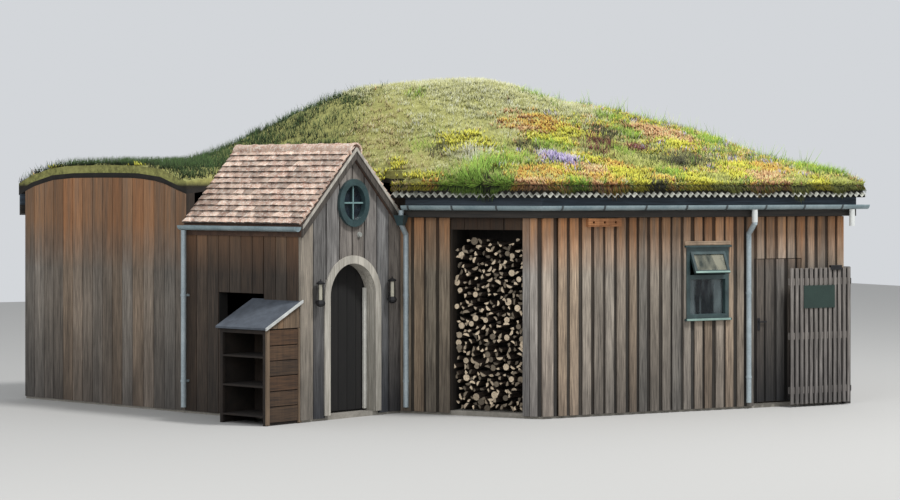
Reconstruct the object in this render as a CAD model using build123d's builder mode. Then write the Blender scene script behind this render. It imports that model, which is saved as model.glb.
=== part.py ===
from build123d import *

import os
from math import cos, pi, radians, sin
from random import Random

# A boarded potting shed with a domed turf roof, a gabled entrance porch set at an angle,
# a log store between the two, a lean-to hutch and a slatted side gate.
# Millimetres, Z up. The main boarded front faces -Y and runs along X. The origin is on
# the ground in the middle of the plan.

os.makedirs("parts", exist_ok=True)

# Plan, measured from the convex corner where the log store wall meets the main front
front_length = 4680
store_length = 1990
store_turn = 54.6
porch_width = 1810
porch_turn = 20
porch_depth = 2060
plan_depth = 6000
wall = 140
slab_height = 60
centre_x = 111.5
centre_y = 2947.4

# Roof of turf over the whole wing
turf_depth = 100
deck_depth = 60
eaves_top = 2930
overhang = 200
back_overhang = 150
crown = 260
mound_left = [(-3000, 0), (-300, 1100), (900, 1180)]
mound_right = [(front_length - 2180, 850), (front_length - 680, 590), (front_length + 220, 30)]
mound_stations = mound_left + mound_right
fascia_face = 135
fascia_board = 25
fascia_foot = 2515
gutter_radius = 60
gutter_wall = 4
gutter_top = 2665
gutter_end = 270
clearance = 0.3

# Porch, measured from the middle of its front
porch_eave = 2430
porch_ridge_height = 3400
porch_eave_reach = 950
porch_roof_depth = 100
verge = 70
bargeboard = 25
bargeboard_depth = 150
ridge_radius = 100
ridge_tile = 18

# Arched doorway
arch_radius = 410
arch_spring = 1530
architrave = 100
architrave_proud = 45
lining = 39
leaf_lap = 45
leaf_thickness = 44
leaf_gap = 6
door_foot = 12

# Oval gable window
oval_drop = 700
oval_width = 540
oval_tall = 600
oval_rim = 80
oval_proud = 70
glass = 6
glazing_bar = 28

# Lanterns beside the arch
lantern_offset = 650
lantern_foot = 1420
lantern_tall = 340
lantern_reach = 105
lantern_bars = 42
lantern_base = [(24, 0), (52, 16), (63, 42), (56, 68), (50, 80)]
lantern_cap = [
    (54, lantern_tall - 60),
    (60, lantern_tall - 46),
    (28, lantern_tall - 26),
    (8, lantern_tall - 18),
    (8, lantern_tall),
]

# Porch side: hatch and lean-to hutch, measured back from the porch front
hatch_start = 630
hatch_end = 1440
hatch_foot = 1100
hatch_head = 1570
hutch_length = 800
hutch_reach = 590
hutch_low = 1185
hutch_high = 1485
hutch_board = 20
hutch_post = 45
hutch_roof_depth = 24
hutch_lap = 40
hutch_shelves = [120, 480, 840]

# Log store recess, measured along its wall
recess_start = 750
recess_end = 1750
recess_head = 2360
recess_depth = 500
recess_board = 25
stack_face = 200
stack_height = 2250
log_pitch = 92

# Main front, measured from the convex corner
window_start = 2150
window_end = 2810
window_foot = 1200
window_head = 2120
window_bar = 55
vent_tall = 300
vent_angle = 25
door_start = 3190
door_end = 4010
door_head = 1990
door_lining = 25
door_gap = 12
handle_height = 1100
box_start = 630
box_end = 1120
box_foot = 2400
box_head = 2505
box_reach = 100

# Hinges of the two doors and the gate
pin_radius = 5
knuckle_radius = 9
knuckle_tall = 70

# Side gate and its post at the right-hand corner
gate_width = 1000
gate_tall = 1790
gate_foot = 40
gate_angle = 2
gate_post = 100
gate_post_tall = 1835
batten = 45
batten_pitch = 75
batten_depth = 20
rail = 45
rail_tall = 90
rail_inset = 180

# Rainwater pipes
pipe_radius = 34
pipe_sides = 16
pipe_front = 3115
pipe_store = 120
pipe_foot = 80
pipe_stand = 62
pipe_wall = 3
pipe_drop = 180
clip_heights = [400, 1500]


# Plan corners and the upright planes of each front, seen from outside
def plan(x, y):
    return Vector(x - centre_x, y - centre_y)


def inset(before, point, after, distance):
    """The point that lies a distance inside both edges that meet at a corner."""
    first = (point - before).normalized()
    second = (after - point).normalized()
    inward = Vector(-first.Y - second.Y, first.X + second.X)
    return point + inward * (distance / (1 + first.dot(second)))


def outward(direction):
    return Vector(direction.Y, -direction.X)


front_dir = Vector(1, 0)
store_dir = Vector(cos(radians(store_turn)), -sin(radians(store_turn)))
porch_dir = Vector(cos(radians(porch_turn)), sin(radians(porch_turn)))
porch_in = Vector(-porch_dir.Y, porch_dir.X)

corner = plan(0, 0)
store_start = corner - store_dir * store_length
porch_left = store_start - porch_dir * porch_width
porch_mid = (store_start + porch_left) * 0.5
right_front = corner + front_dir * front_length
right_back = right_front + Vector(0, plan_depth)
side_run = (right_back.Y - porch_left.Y) / porch_in.Y
left_back = porch_left + porch_in * side_run
side_back = porch_left + porch_in * porch_depth

front = Plane(corner, front_dir, outward(front_dir))
store = Plane(store_start, store_dir, outward(store_dir))
porch = Plane(porch_mid, porch_dir, outward(porch_dir))
side = Plane(porch_left, porch_in * -1, porch_dir * -1)

outline = [porch_left, store_start, corner, right_front, right_back, left_back]


def offset_outline(distance):
    """The plan outline moved in by a distance, or out where it is negative."""
    points = []
    for index, point in enumerate(outline):
        before = outline[index - 1]
        after = outline[(index + 1) % len(outline)]
        points.append(inset(before, point, after, distance))
    return points


inner = offset_outline(wall)


# The turf's upper surface: a crowned cushion with a mound whose height changes along X
def blend(share):
    share = min(max(share, 0), 1)
    return share * share * (3 - 2 * share)


def mound_height(x):
    for (start, low), (end, high) in zip(mound_stations, mound_stations[1:]):
        if x <= end:
            return low + (high - low) * blend((x - start) / (end - start))
    return mound_stations[-1][1]


porch_notch = 3100
notch_start = 150
notch_end = -2600
crest_share = 1.23
edge_limit = 1.04
roof_reach = front_length + 320
roof_front = -overhang - 100
roof_back = plan_depth + back_overhang + 150
panel_columns = 25
panel_rows = 16


def turf_top(x, y):
    eave_line = porch_notch * blend((x - notch_start) / (notch_end - notch_start)) - overhang
    share = (y - eave_line) / (plan_depth + back_overhang - eave_line)
    across = min(max(2 * share - 1, -edge_limit), edge_limit)
    bell = (1 - cos(2 * pi * min(max(share, 0), 1) ** crest_share)) / 2
    return eaves_top + crown * (1 - across**4) + mound_height(x) * bell


def grid_line(start, end, panels):
    return [start + (end - start) * step / panels for step in range(panels + 1)]


def triangle(*points):
    return Face(Wire.make_polygon(points))


def roof_body(drop, depth):
    """A layer under the turf surface, over a rectangle wider than the plan.

    It is made of flat triangular panels, as a boarded deck on curved rafters is.
    """
    columns = grid_line(-roof_reach, roof_reach, panel_columns)
    rows = grid_line(roof_front, roof_back, panel_rows)
    fall = Vector(0, 0, -depth)
    tops = []
    for y in rows:
        tops.append([plan(x, y) + Vector(0, 0, turf_top(x, y) - drop) for x in columns])
    faces = []
    for near, far in zip(tops, tops[1:]):
        for a, b, c, d in zip(near, near[1:], far[1:], far):
            faces += [triangle(a, b, c), triangle(a, c, d)]
            faces += [triangle(c + fall, b + fall, a + fall), triangle(d + fall, c + fall, a + fall)]
    rim = tops[0] + [row[-1] for row in tops[1:-1]]
    rim += tops[-1][::-1] + [row[0] for row in tops[-2:0:-1]]
    for index, start in enumerate(rim):
        end = rim[(index + 1) % len(rim)]
        faces.append(Face(Wire.make_polygon([start, start + fall, end + fall, end])))
    return Solid(Shell(faces))


headroom = 5000
under_roof = roof_body(turf_depth + deck_depth, headroom)


# Porch section: heights of the tiled slopes over a point across the porch
porch_slope = (porch_ridge_height - porch_eave) / porch_eave_reach
roof_drop = porch_roof_depth * (1 + porch_slope**2) ** 0.5
half_porch = porch_width / 2
oval_height = porch_ridge_height - oval_drop


def slope_top(across):
    return porch_ridge_height - porch_slope * abs(across)


def slope_under(across):
    return slope_top(across) - roof_drop


with BuildPart() as porch_envelope:
    with BuildSketch(porch.offset(overhang * 2)):
        with BuildLine():
            Polyline(
                (-porch_eave_reach, 0),
                (half_porch, 0),
                (half_porch, slope_top(half_porch)),
                (0, porch_ridge_height),
                (-porch_eave_reach, porch_eave),
                close=True,
            )
        make_face()
    extrude(amount=-(porch_depth + overhang * 2))

with BuildPart() as porch_under:
    with BuildSketch(porch):
        with BuildLine():
            Polyline(
                (-half_porch, 0),
                (half_porch, 0),
                (half_porch, slope_under(half_porch)),
                (0, slope_under(0)),
                (-half_porch, slope_under(half_porch)),
                close=True,
            )
        make_face()
    extrude(amount=-porch_depth)


def plan_face(*points):
    """A flat face through plan points, drawn inside a sketch."""
    Polygon(*[(point.X, point.Y) for point in points], align=None)


def save(part, name):
    part.label = name
    export_step(part, f"parts/{name}.step")


# Floor
with BuildPart() as floor_slab:
    with BuildSketch():
        plan_face(*outline)
    extrude(amount=slab_height)
save(floor_slab.part, "floor_slab")


# Porch front: a panel each side of the doorway, and the gable over its spring line
arch_hole = arch_radius + lining

with BuildPart() as porch_front_left:
    with BuildSketch(porch):
        with Locations((-half_porch, slab_height)):
            Rectangle(half_porch - arch_hole, arch_spring - slab_height, align=(Align.MIN, Align.MIN))
    extrude(amount=-wall)
save(porch_front_left.part, "porch_front_left")

with BuildPart() as porch_front_right:
    with BuildSketch(porch):
        with Locations((arch_hole, slab_height)):
            Rectangle(half_porch - arch_hole, arch_spring - slab_height, align=(Align.MIN, Align.MIN))
    extrude(amount=-wall)
save(porch_front_right.part, "porch_front_right")

with BuildPart() as porch_gable_wall:
    with BuildSketch(porch):
        with BuildLine():
            Polyline(
                (-half_porch, arch_spring),
                (half_porch, arch_spring),
                (half_porch, slope_under(half_porch)),
                (0, slope_under(0)),
                (-half_porch, slope_under(half_porch)),
                close=True,
            )
        make_face()
        with Locations((0, arch_spring)):
            Circle(arch_hole, mode=Mode.SUBTRACT)
        with Locations((0, oval_height)):
            Ellipse(oval_width / 2 - oval_rim, oval_tall / 2 - oval_rim, mode=Mode.SUBTRACT)
    extrude(amount=-wall)
save(porch_gable_wall.part, "porch_gable_wall")


# Porch left wall with its open hatch, from behind the front wall to the porch's back
with BuildPart() as porch_left_wall:
    with BuildSketch(side):
        with Locations((-wall, slab_height)):
            Rectangle(porch_depth - wall, slope_under(0), align=(Align.MAX, Align.MIN))
        with Locations((-hatch_start, hatch_foot)):
            Rectangle(
                hatch_end - hatch_start,
                hatch_head - hatch_foot,
                align=(Align.MAX, Align.MIN),
                mode=Mode.SUBTRACT,
            )
    extrude(amount=-wall)
    add(porch_under.part, mode=Mode.INTERSECT)
save(porch_left_wall.part, "porch_left_wall")


# Inner frame at the back of the porch: a trimmer beam, its post and the closing gable
trimmer_foot = slope_under(half_porch) - 200

with BuildPart() as porch_inner_frame:
    with BuildSketch(porch.offset(-wall)):
        with Locations((half_porch, trimmer_foot)):
            Rectangle(wall, slope_under(0), align=(Align.MAX, Align.MIN))
    extrude(amount=-(porch_depth - wall))
    with BuildSketch(porch.offset(wall - porch_depth)):
        with Locations((half_porch, slab_height)):
            Rectangle(wall, trimmer_foot, align=(Align.MAX, Align.MIN))
        with Locations((wall - half_porch, trimmer_foot)):
            Rectangle(porch_width - wall, slope_under(0), align=(Align.MIN, Align.MIN))
    extrude(amount=-wall)
    add(porch_under.part, mode=Mode.INTERSECT)
save(porch_inner_frame.part, "porch_inner_frame")


# Arched door frame: a flat architrave on the face and a lining through the wall
def arch_face(radius, foot):
    """An arch with a round head on straight sides, drawn inside a porch sketch."""
    with Locations((0, arch_spring)):
        Circle(radius)
    with Locations((0, arch_spring)):
        Rectangle(radius * 2, arch_spring - foot, align=(Align.CENTER, Align.MAX))


hinge_across = arch_radius + leaf_lap + 6
hinge_in = wall + 10 + leaf_gap + leaf_thickness + 12
hinge_heights = [350, 1250]
pintle_arm = 12


def pintle(point, height, direction, reach):
    """An arm that runs back from a pin to its jamb, with the pin standing on it."""
    level = Plane((point.X, point.Y, height), direction, (0, 0, 1))
    with BuildSketch(level) as arm:
        Rectangle(reach, pin_radius * 2, align=(Align.MIN, Align.CENTER))
        Circle(pin_radius)
    extrude(arm.sketch, amount=-pintle_arm)
    with BuildSketch(level) as pin:
        Circle(pin_radius)
    extrude(pin.sketch, amount=knuckle_tall)


def knuckle(point, height, direction, reach, side_step=0):
    """A barrel round the pin with the strap that joins it to its leaf.

    The strap fills the side step between the barrel and the face that carries it.
    """
    level = Plane((point.X, point.Y, height + clearance), direction, (0, 0, 1))
    with BuildSketch(level) as barrel:
        Rectangle(reach, knuckle_radius, align=(Align.MIN, Align.CENTER))
        with Locations((knuckle_radius + 3, 0)):
            Rectangle(reach - knuckle_radius - 3, side_step, align=(Align.MIN, Align.MIN))
        Circle(knuckle_radius)
        Circle(pin_radius + clearance, mode=Mode.SUBTRACT)
    extrude(barrel.sketch, amount=knuckle_tall)


porch_hinge = porch_mid + porch_dir * hinge_across + porch_in * hinge_in

with BuildPart() as porch_door_frame:
    with BuildSketch(porch.offset(architrave_proud)):
        arch_face(arch_radius + architrave, slab_height)
    extrude(amount=-architrave_proud)
    with BuildSketch(porch):
        arch_face(arch_hole, slab_height)
    extrude(amount=-(wall + 10))
    with BuildSketch(porch.offset(architrave_proud)):
        arch_face(arch_radius, slab_height)
    extrude(amount=-(architrave_proud + wall + 10), mode=Mode.SUBTRACT)
save(porch_door_frame.part, "porch_door_frame")

with BuildPart() as porch_door_hinges:
    for hinge_height in hinge_heights:
        pintle(porch_hinge, hinge_height, porch_in * -1, hinge_in - wall)
save(porch_door_hinges.part, "porch_door_hinges")

leaf_face = wall + 10 + leaf_gap
leaf_radius = arch_radius + leaf_lap

with BuildPart() as porch_door:
    with BuildSketch(porch.offset(-leaf_face)):
        arch_face(leaf_radius, slab_height + door_foot)
    extrude(amount=-leaf_thickness)
    for hinge_height in hinge_heights:
        knuckle(porch_hinge, hinge_height, porch_dir * -1, 160, 12)
save(porch_door.part, "porch_door")

with BuildPart() as porch_door_handle:
    with BuildSketch(porch.offset(-leaf_face)):
        with Locations((-330, handle_height)):
            RectangleRounded(40, 160, 10)
    extrude(amount=6)
    with BuildSketch(porch.offset(6 - leaf_face)):
        with Locations((-330, handle_height + 30)):
            Circle(9)
    extrude(amount=40)
    with BuildSketch(porch.offset(34 - leaf_face)):
        with Locations((-339, handle_height + 30)):
            Rectangle(118, 18, align=(Align.MIN, Align.CENTER))
    extrude(amount=12)
save(porch_door_handle.part, "porch_door_handle")


# Oval gable window: a deep rim with cross bars, and its pane
with BuildPart() as porch_window_frame:
    with BuildSketch(porch):
        with Locations((0, oval_height)):
            Ellipse(oval_width / 2, oval_tall / 2)
            Ellipse(oval_width / 2 - oval_rim, oval_tall / 2 - oval_rim, mode=Mode.SUBTRACT)
    extrude(amount=oval_proud)
    with BuildSketch(porch.offset(oval_proud / 2)):
        with Locations((0, oval_height)):
            Rectangle(glazing_bar, oval_tall - oval_rim)
            Rectangle(oval_width - oval_rim, glazing_bar)
    extrude(amount=-oval_proud / 2)
save(porch_window_frame.part, "porch_window_frame")

with BuildPart() as porch_window_glass:
    with BuildSketch(porch):
        with Locations((0, oval_height)):
            Ellipse(oval_width / 2 - oval_rim, oval_tall / 2 - oval_rim)
    extrude(amount=-glass)
save(porch_window_glass.part, "porch_window_glass")


# Porch roof: two tiled slopes, the ridge and the bargeboards
def slope_section(reach):
    Polygon(
        (0, slope_top(0)),
        (reach, slope_top(reach)),
        (reach, slope_under(reach)),
        (0, slope_under(0)),
        align=None,
    )


with BuildPart() as porch_roof_left:
    with BuildSketch(porch.offset(verge)):
        slope_section(-porch_eave_reach)
    extrude(amount=-(porch_depth + verge))
save(porch_roof_left.part, "porch_roof_left")

with BuildPart() as porch_roof_right:
    with BuildSketch(porch.offset(verge)):
        slope_section(half_porch)
    extrude(amount=-(porch_depth + verge))
save(porch_roof_right.part, "porch_roof_right")

with BuildPart() as porch_ridge:
    with BuildSketch(porch.offset(verge + bargeboard)):
        with Locations((0, porch_ridge_height - ridge_radius / 2)):
            Circle(ridge_radius)
            Circle(ridge_radius - ridge_tile, mode=Mode.SUBTRACT)
        with BuildLine():
            Polyline(
                (-porch_width, slope_top(porch_width)),
                (0, slope_top(0)),
                (porch_width, slope_top(porch_width)),
                close=True,
            )
        make_face(mode=Mode.SUBTRACT)
    extrude(amount=-(porch_depth + verge + bargeboard))
save(porch_ridge.part, "porch_ridge")

with BuildPart() as bargeboards:
    with BuildSketch(porch.offset(verge)):
        with BuildLine():
            Polyline(
                (-porch_eave_reach, slope_top(porch_eave_reach)),
                (0, slope_top(0)),
                (half_porch - 5, slope_top(half_porch - 5)),
                (half_porch - 5, slope_top(half_porch - 5) - bargeboard_depth),
                (0, slope_top(0) - bargeboard_depth),
                (-porch_eave_reach, slope_top(porch_eave_reach) - bargeboard_depth),
                close=True,
            )
        make_face()
    extrude(amount=bargeboard)
save(bargeboards.part, "bargeboards")


# Wall lanterns: a back plate and arm, an eight-sided bowl, four bars and a cap
def eight_sided(base, profile):
    """A closed body with eight flat sides round an upright line, from radii and heights."""
    eighths = [2 * pi * step / 8 for step in range(8)]
    rings = []
    for radius, height in profile:
        rings.append([base + Vector(radius * cos(a), radius * sin(a), height) for a in eighths])
    faces = [Face(Wire.make_polygon(rings[0][::-1])), Face(Wire.make_polygon(rings[-1]))]
    for lower, upper in zip(rings, rings[1:]):
        for near in range(8):
            far = (near + 1) % 8
            faces.append(Face(Wire.make_polygon([lower[near], lower[far], upper[far], upper[near]])))
    return Solid(Shell(faces))


def build_lantern(across):
    with BuildPart() as lantern:
        with BuildSketch(porch):
            with Locations((across, lantern_foot + 70)):
                RectangleRounded(60, 140, 12)
        extrude(amount=22)
        with BuildSketch(porch.offset(22)):
            with Locations((across, lantern_foot + 50)):
                Rectangle(22, 22)
        extrude(amount=lantern_reach - 50)
        spot = porch_mid + porch_dir * across - porch_in * lantern_reach
        spot = Vector(spot.X, spot.Y, lantern_foot)
        add(eight_sided(spot, lantern_base))
        add(eight_sided(spot, lantern_cap))
        base_top = lantern_base[-1][1]
        with BuildSketch(Plane(spot + Vector(0, 0, base_top), porch_dir, (0, 0, 1))):
            with PolarLocations(lantern_bars, 4):
                Rectangle(9, 9)
        extrude(amount=lantern_cap[0][1] - base_top)
    return lantern.part


save(build_lantern(-lantern_offset), "lantern_left")
save(build_lantern(lantern_offset), "lantern_right")


# Hutch: a lean-to store against the porch side, open on its outer face
hutch_outer = -half_porch - hutch_reach
hutch_fall = (hutch_high - hutch_low) / hutch_reach


def hutch_side_face():
    Polygon(
        (-half_porch, 0),
        (-half_porch, hutch_high),
        (hutch_outer, hutch_low),
        (hutch_outer, 0),
        align=None,
    )


with BuildPart() as hutch_case:
    for start in (0, hutch_length - hutch_board):
        with BuildSketch(porch.offset(-start)):
            hutch_side_face()
        extrude(amount=-hutch_board)
    with BuildSketch(porch):
        for level in hutch_shelves:
            with Locations((-half_porch, level)):
                Rectangle(hutch_reach, hutch_board, align=(Align.MAX, Align.MAX))
        with Locations((hutch_outer, hutch_low - 2)):
            Rectangle(hutch_post, 70, align=(Align.MIN, Align.MAX))
    extrude(amount=-hutch_length)
    for start in (0, hutch_length - hutch_post):
        with BuildSketch(porch.offset(-start)):
            with Locations((hutch_outer, 0)):
                Rectangle(hutch_post, hutch_low - 2, align=(Align.MIN, Align.MIN))
        extrude(amount=-hutch_post)
save(hutch_case.part, "hutch_case")

with BuildPart() as hutch_roof:
    with BuildSketch(porch.offset(hutch_lap)):
        low_edge = hutch_low - hutch_fall * hutch_lap
        with BuildLine():
            Polyline(
                (-half_porch, hutch_high),
                (-half_porch, hutch_high + hutch_roof_depth),
                (hutch_outer - hutch_lap, low_edge + hutch_roof_depth),
                (hutch_outer - hutch_lap, low_edge),
                close=True,
            )
        make_face()
    extrude(amount=-(hutch_length + 2 * hutch_lap))
save(hutch_roof.part, "hutch_roof")


# Log store wall: a panel, the corner piece and the header over the recess
def store_point(along, inward=0):
    return store_start + store_dir * along - outward(store_dir) * inward


with BuildPart() as store_wall_left:
    with BuildSketch(Plane.XY.offset(slab_height)):
        plan_face(
            store_start,
            store_point(recess_start),
            store_point(recess_start, wall),
            inner[1],
            store_start + porch_in * wall,
        )
    extrude(amount=headroom)
    add(under_roof, mode=Mode.INTERSECT)
save(store_wall_left.part, "store_wall_left")

with BuildPart() as store_header:
    with BuildSketch(Plane.XY.offset(recess_head)):
        plan_face(
            store_point(recess_start),
            store_point(recess_end),
            store_point(recess_end, wall),
            store_point(recess_start, wall),
        )
    extrude(amount=headroom)
    add(under_roof, mode=Mode.INTERSECT)
save(store_header.part, "store_header")

with BuildPart() as store_corner:
    with BuildSketch(Plane.XY.offset(slab_height)):
        plan_face(store_point(recess_end), corner, inner[2], store_point(recess_end, wall))
    extrude(amount=headroom)
    add(under_roof, mode=Mode.INTERSECT)
save(store_corner.part, "store_corner")

with BuildPart() as log_recess:
    with BuildSketch(Plane.XY.offset(slab_height)):
        plan_face(
            store_point(recess_start - recess_board, wall),
            store_point(recess_end + recess_board, wall),
            store_point(recess_end + recess_board, recess_depth + recess_board),
            store_point(recess_start - recess_board, recess_depth + recess_board),
        )
    extrude(amount=recess_head + recess_board - slab_height)
    with BuildSketch(Plane.XY.offset(slab_height)):
        plan_face(
            store_point(recess_start, wall),
            store_point(recess_end, wall),
            store_point(recess_end, recess_depth),
            store_point(recess_start, recess_depth),
        )
    extrude(amount=recess_head - slab_height, mode=Mode.SUBTRACT)
save(log_recess.part, "log_recess")


# Firewood: split logs stacked on end faces out, standing proud of the stack behind
log_classes = [(3, 50), (4, 49), (5, 46), (6, 45)]
log_reaches = [60, 85, 110]
recess_width = recess_end - recess_start
columns = int(recess_width // log_pitch)
rows = int(stack_height // log_pitch)
chance = Random(11)
log_spots = {}
for row in range(rows):
    for column in range(columns):
        shift = log_pitch * (0.25 if row % 2 else -0.25)
        margin = (recess_width - columns * log_pitch) / 2
        along = recess_start + margin + (column + 0.5) * log_pitch + shift * 0.5
        spot = Location((along, slab_height + 50 + row * log_pitch), chance.uniform(0, 360))
        kind = (chance.randrange(len(log_classes)), chance.randrange(len(log_reaches)))
        log_spots.setdefault(kind, []).append(spot)

with BuildPart() as firewood:
    with BuildSketch(store.offset(-stack_face)):
        with Locations((recess_start + 2, slab_height)):
            Rectangle(recess_width - 4, rows * log_pitch, align=(Align.MIN, Align.MIN))
    extrude(amount=-(recess_depth - stack_face))
    for (sides, reach), spots in log_spots.items():
        side_count, radius = log_classes[sides]
        with BuildSketch(store.offset(-stack_face)):
            with Locations(*spots):
                RegularPolygon(radius * 0.84, side_count)
        extrude(amount=log_reaches[reach])
save(firewood.part, "firewood")


# Main front: panels beside, under and over the window and the service door
def front_panel(start, end, foot, head):
    left = corner + front_dir * start
    right = corner + front_dir * end
    with BuildSketch(Plane.XY.offset(foot)) as panel:
        plan_face(left, right, right + Vector(0, wall), left + Vector(0, wall))
    extrude(panel.sketch, amount=head - foot)


with BuildPart() as front_wall_left:
    with BuildSketch(Plane.XY.offset(slab_height)):
        edge = corner + front_dir * window_start
        plan_face(corner, edge, edge + Vector(0, wall), inner[2])
    extrude(amount=headroom)
    add(under_roof, mode=Mode.INTERSECT)
save(front_wall_left.part, "front_wall_left")

with BuildPart() as front_window_bay:
    front_panel(window_start, window_end, slab_height, window_foot)
    front_panel(window_start, window_end, window_head, headroom)
    add(under_roof, mode=Mode.INTERSECT)
save(front_window_bay.part, "front_window_bay")

with BuildPart() as front_wall_middle:
    front_panel(window_end, door_start, slab_height, headroom)
    add(under_roof, mode=Mode.INTERSECT)
save(front_wall_middle.part, "front_wall_middle")

with BuildPart() as front_door_header:
    front_panel(door_start, door_end, door_head, headroom)
    add(under_roof, mode=Mode.INTERSECT)
save(front_door_header.part, "front_door_header")

with BuildPart() as front_wall_right:
    front_panel(door_end, front_length, slab_height, headroom)
    add(under_roof, mode=Mode.INTERSECT)
save(front_wall_right.part, "front_wall_right")


# Window: frame with a transom and sill, a fixed pane, and a vent light hung at its top
window_mid = (window_start + window_end) / 2
window_width = window_end - window_start
window_tall = window_head - window_foot
vent_head = window_head - window_bar - clearance
vent_width = window_width - 2 * window_bar - 8
transom_head = vent_head - vent_tall - 4
frame_proud = 45

with BuildPart() as window_frame:
    with BuildSketch(front.offset(frame_proud)):
        with Locations((window_mid, window_foot)):
            Rectangle(window_width, window_tall, align=(Align.CENTER, Align.MIN))
        with Locations((window_mid, window_foot + window_bar)):
            Rectangle(
                window_width - 2 * window_bar,
                transom_head - 2 * window_bar - window_foot,
                align=(Align.CENTER, Align.MIN),
                mode=Mode.SUBTRACT,
            )
        with Locations((window_mid, window_head - window_bar)):
            Rectangle(
                window_width - 2 * window_bar,
                window_head - window_bar - transom_head,
                align=(Align.CENTER, Align.MAX),
                mode=Mode.SUBTRACT,
            )
    extrude(amount=-(frame_proud + 70))
    with BuildSketch(front.offset(frame_proud)):
        with Locations((window_mid, window_foot)):
            Rectangle(window_width + 60, 30, align=(Align.CENTER, Align.MAX))
        with Locations((window_mid, window_head)):
            Rectangle(window_width + 60, 25, align=(Align.CENTER, Align.MIN))
    extrude(amount=25)
    with BuildSketch(front):
        with Locations((window_mid, window_foot)):
            Rectangle(window_width + 60, 30, align=(Align.CENTER, Align.MAX))
        with Locations((window_mid, window_head)):
            Rectangle(window_width + 60, 25, align=(Align.CENTER, Align.MIN))
    extrude(amount=frame_proud)
save(window_frame.part, "window_frame")

vent_hinge = front.from_local_coords((window_mid, vent_head, frame_proud))
vent = Plane(vent_hinge, front.x_dir, front.z_dir).rotated((-vent_angle, 0, 0))
vent_bar = 38

with BuildPart() as window_vent:
    with BuildSketch(vent):
        Rectangle(vent_width, vent_tall, align=(Align.CENTER, Align.MAX))
        with Locations((0, -vent_bar)):
            Rectangle(
                vent_width - 2 * vent_bar,
                vent_tall - 2 * vent_bar,
                align=(Align.CENTER, Align.MAX),
                mode=Mode.SUBTRACT,
            )
    extrude(amount=-vent_bar)
save(window_vent.part, "window_vent")

with BuildPart() as window_glass:
    with BuildSketch(front.offset(-20)):
        with Locations((window_mid, window_foot + window_bar)):
            Rectangle(
                window_width - 2 * window_bar,
                transom_head - 2 * window_bar - window_foot,
                align=(Align.CENTER, Align.MIN),
            )
    extrude(amount=glass)
    with BuildSketch(vent.offset(-vent_bar / 2)):
        with Locations((0, -vent_bar)):
            Rectangle(
                vent_width - 2 * vent_bar,
                vent_tall - 2 * vent_bar,
                align=(Align.CENTER, Align.MAX),
            )
    extrude(amount=glass)
save(window_glass.part, "window_glass")


# Service door: a lined opening and a boarded leaf flush with the wall
service_edge = door_end - door_lining
service_leaf_right = service_edge - door_gap
service_leaf_left = door_start + door_lining + door_gap
service_leaf_head = door_head - door_lining - door_gap
service_hinge = corner + Vector(service_edge - knuckle_radius - 1, leaf_thickness + knuckle_radius + 1)

with BuildPart() as service_door_frame:
    with BuildSketch(front):
        with Locations((door_start, slab_height)):
            Rectangle(door_end - door_start, door_head - slab_height, align=(Align.MIN, Align.MIN))
        with Locations((door_start + door_lining, slab_height)):
            Rectangle(
                door_end - door_start - 2 * door_lining,
                door_head - door_lining - slab_height,
                align=(Align.MIN, Align.MIN),
                mode=Mode.SUBTRACT,
            )
    extrude(amount=-wall)
    for hinge_height in hinge_heights:
        pintle(service_hinge, hinge_height, front_dir, knuckle_radius + 1)
save(service_door_frame.part, "service_door_frame")

with BuildPart() as service_door:
    with BuildSketch(front):
        with Locations((service_leaf_left, slab_height + door_foot)):
            Rectangle(
                service_leaf_right - service_leaf_left,
                service_leaf_head - slab_height - door_foot,
                align=(Align.MIN, Align.MIN),
            )
    extrude(amount=-leaf_thickness)
    for hinge_height in hinge_heights:
        knuckle(service_hinge, hinge_height, front_dir * -1, 160, knuckle_radius + 1)
save(service_door.part, "service_door")

with BuildPart() as service_door_handle:
    handle_along = service_leaf_left + 60
    with BuildSketch(front):
        with Locations((handle_along, handle_height)):
            RectangleRounded(42, 150, 10)
    extrude(amount=28)
    with BuildSketch(front.offset(28)):
        with Locations((handle_along, handle_height + 30)):
            Circle(9)
    extrude(amount=38)
    with BuildSketch(front.offset(54)):
        with Locations((handle_along - 9, handle_height + 30)):
            Rectangle(125, 18, align=(Align.MIN, Align.CENTER))
    extrude(amount=12)
save(service_door_handle.part, "service_door_handle")


# Plain hidden walls: the right end, the back and the party wall on the left
back_line = right_back.Y - wall
party_run = (back_line - side_back.Y) / porch_in.Y
party_end = side_back + porch_in * party_run

with BuildPart() as right_end_wall:
    with BuildSketch(Plane.XY.offset(slab_height)):
        plan_face(
            right_front + Vector(0, wall),
            right_back - Vector(0, wall),
            right_back - Vector(wall, wall),
            right_front + Vector(-wall, wall),
        )
    extrude(amount=headroom)
    add(under_roof, mode=Mode.INTERSECT)
save(right_end_wall.part, "right_end_wall")

with BuildPart() as back_wall:
    with BuildSketch(Plane.XY.offset(slab_height)):
        plan_face(right_back, left_back, party_end, right_back - Vector(0, wall))
    extrude(amount=headroom)
    add(under_roof, mode=Mode.INTERSECT)
save(back_wall.part, "back_wall")

with BuildPart() as party_wall:
    with BuildSketch(Plane.XY.offset(slab_height)):
        plan_face(side_back, side_back + porch_dir * wall, inner[5], party_end)
    extrude(amount=headroom)
    add(under_roof, mode=Mode.INTERSECT)
save(party_wall.part, "party_wall")


# Roof: the boarded deck and the turf on it, over the plan with its overhangs
eaves = offset_outline(-overhang)
eaves_start = store_point(150, -overhang)
right_eave = right_front + Vector(overhang, -overhang)
back_eave = right_back + Vector(overhang, back_overhang)
party_eave = left_back + porch_in * (back_overhang / porch_in.Y)


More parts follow.
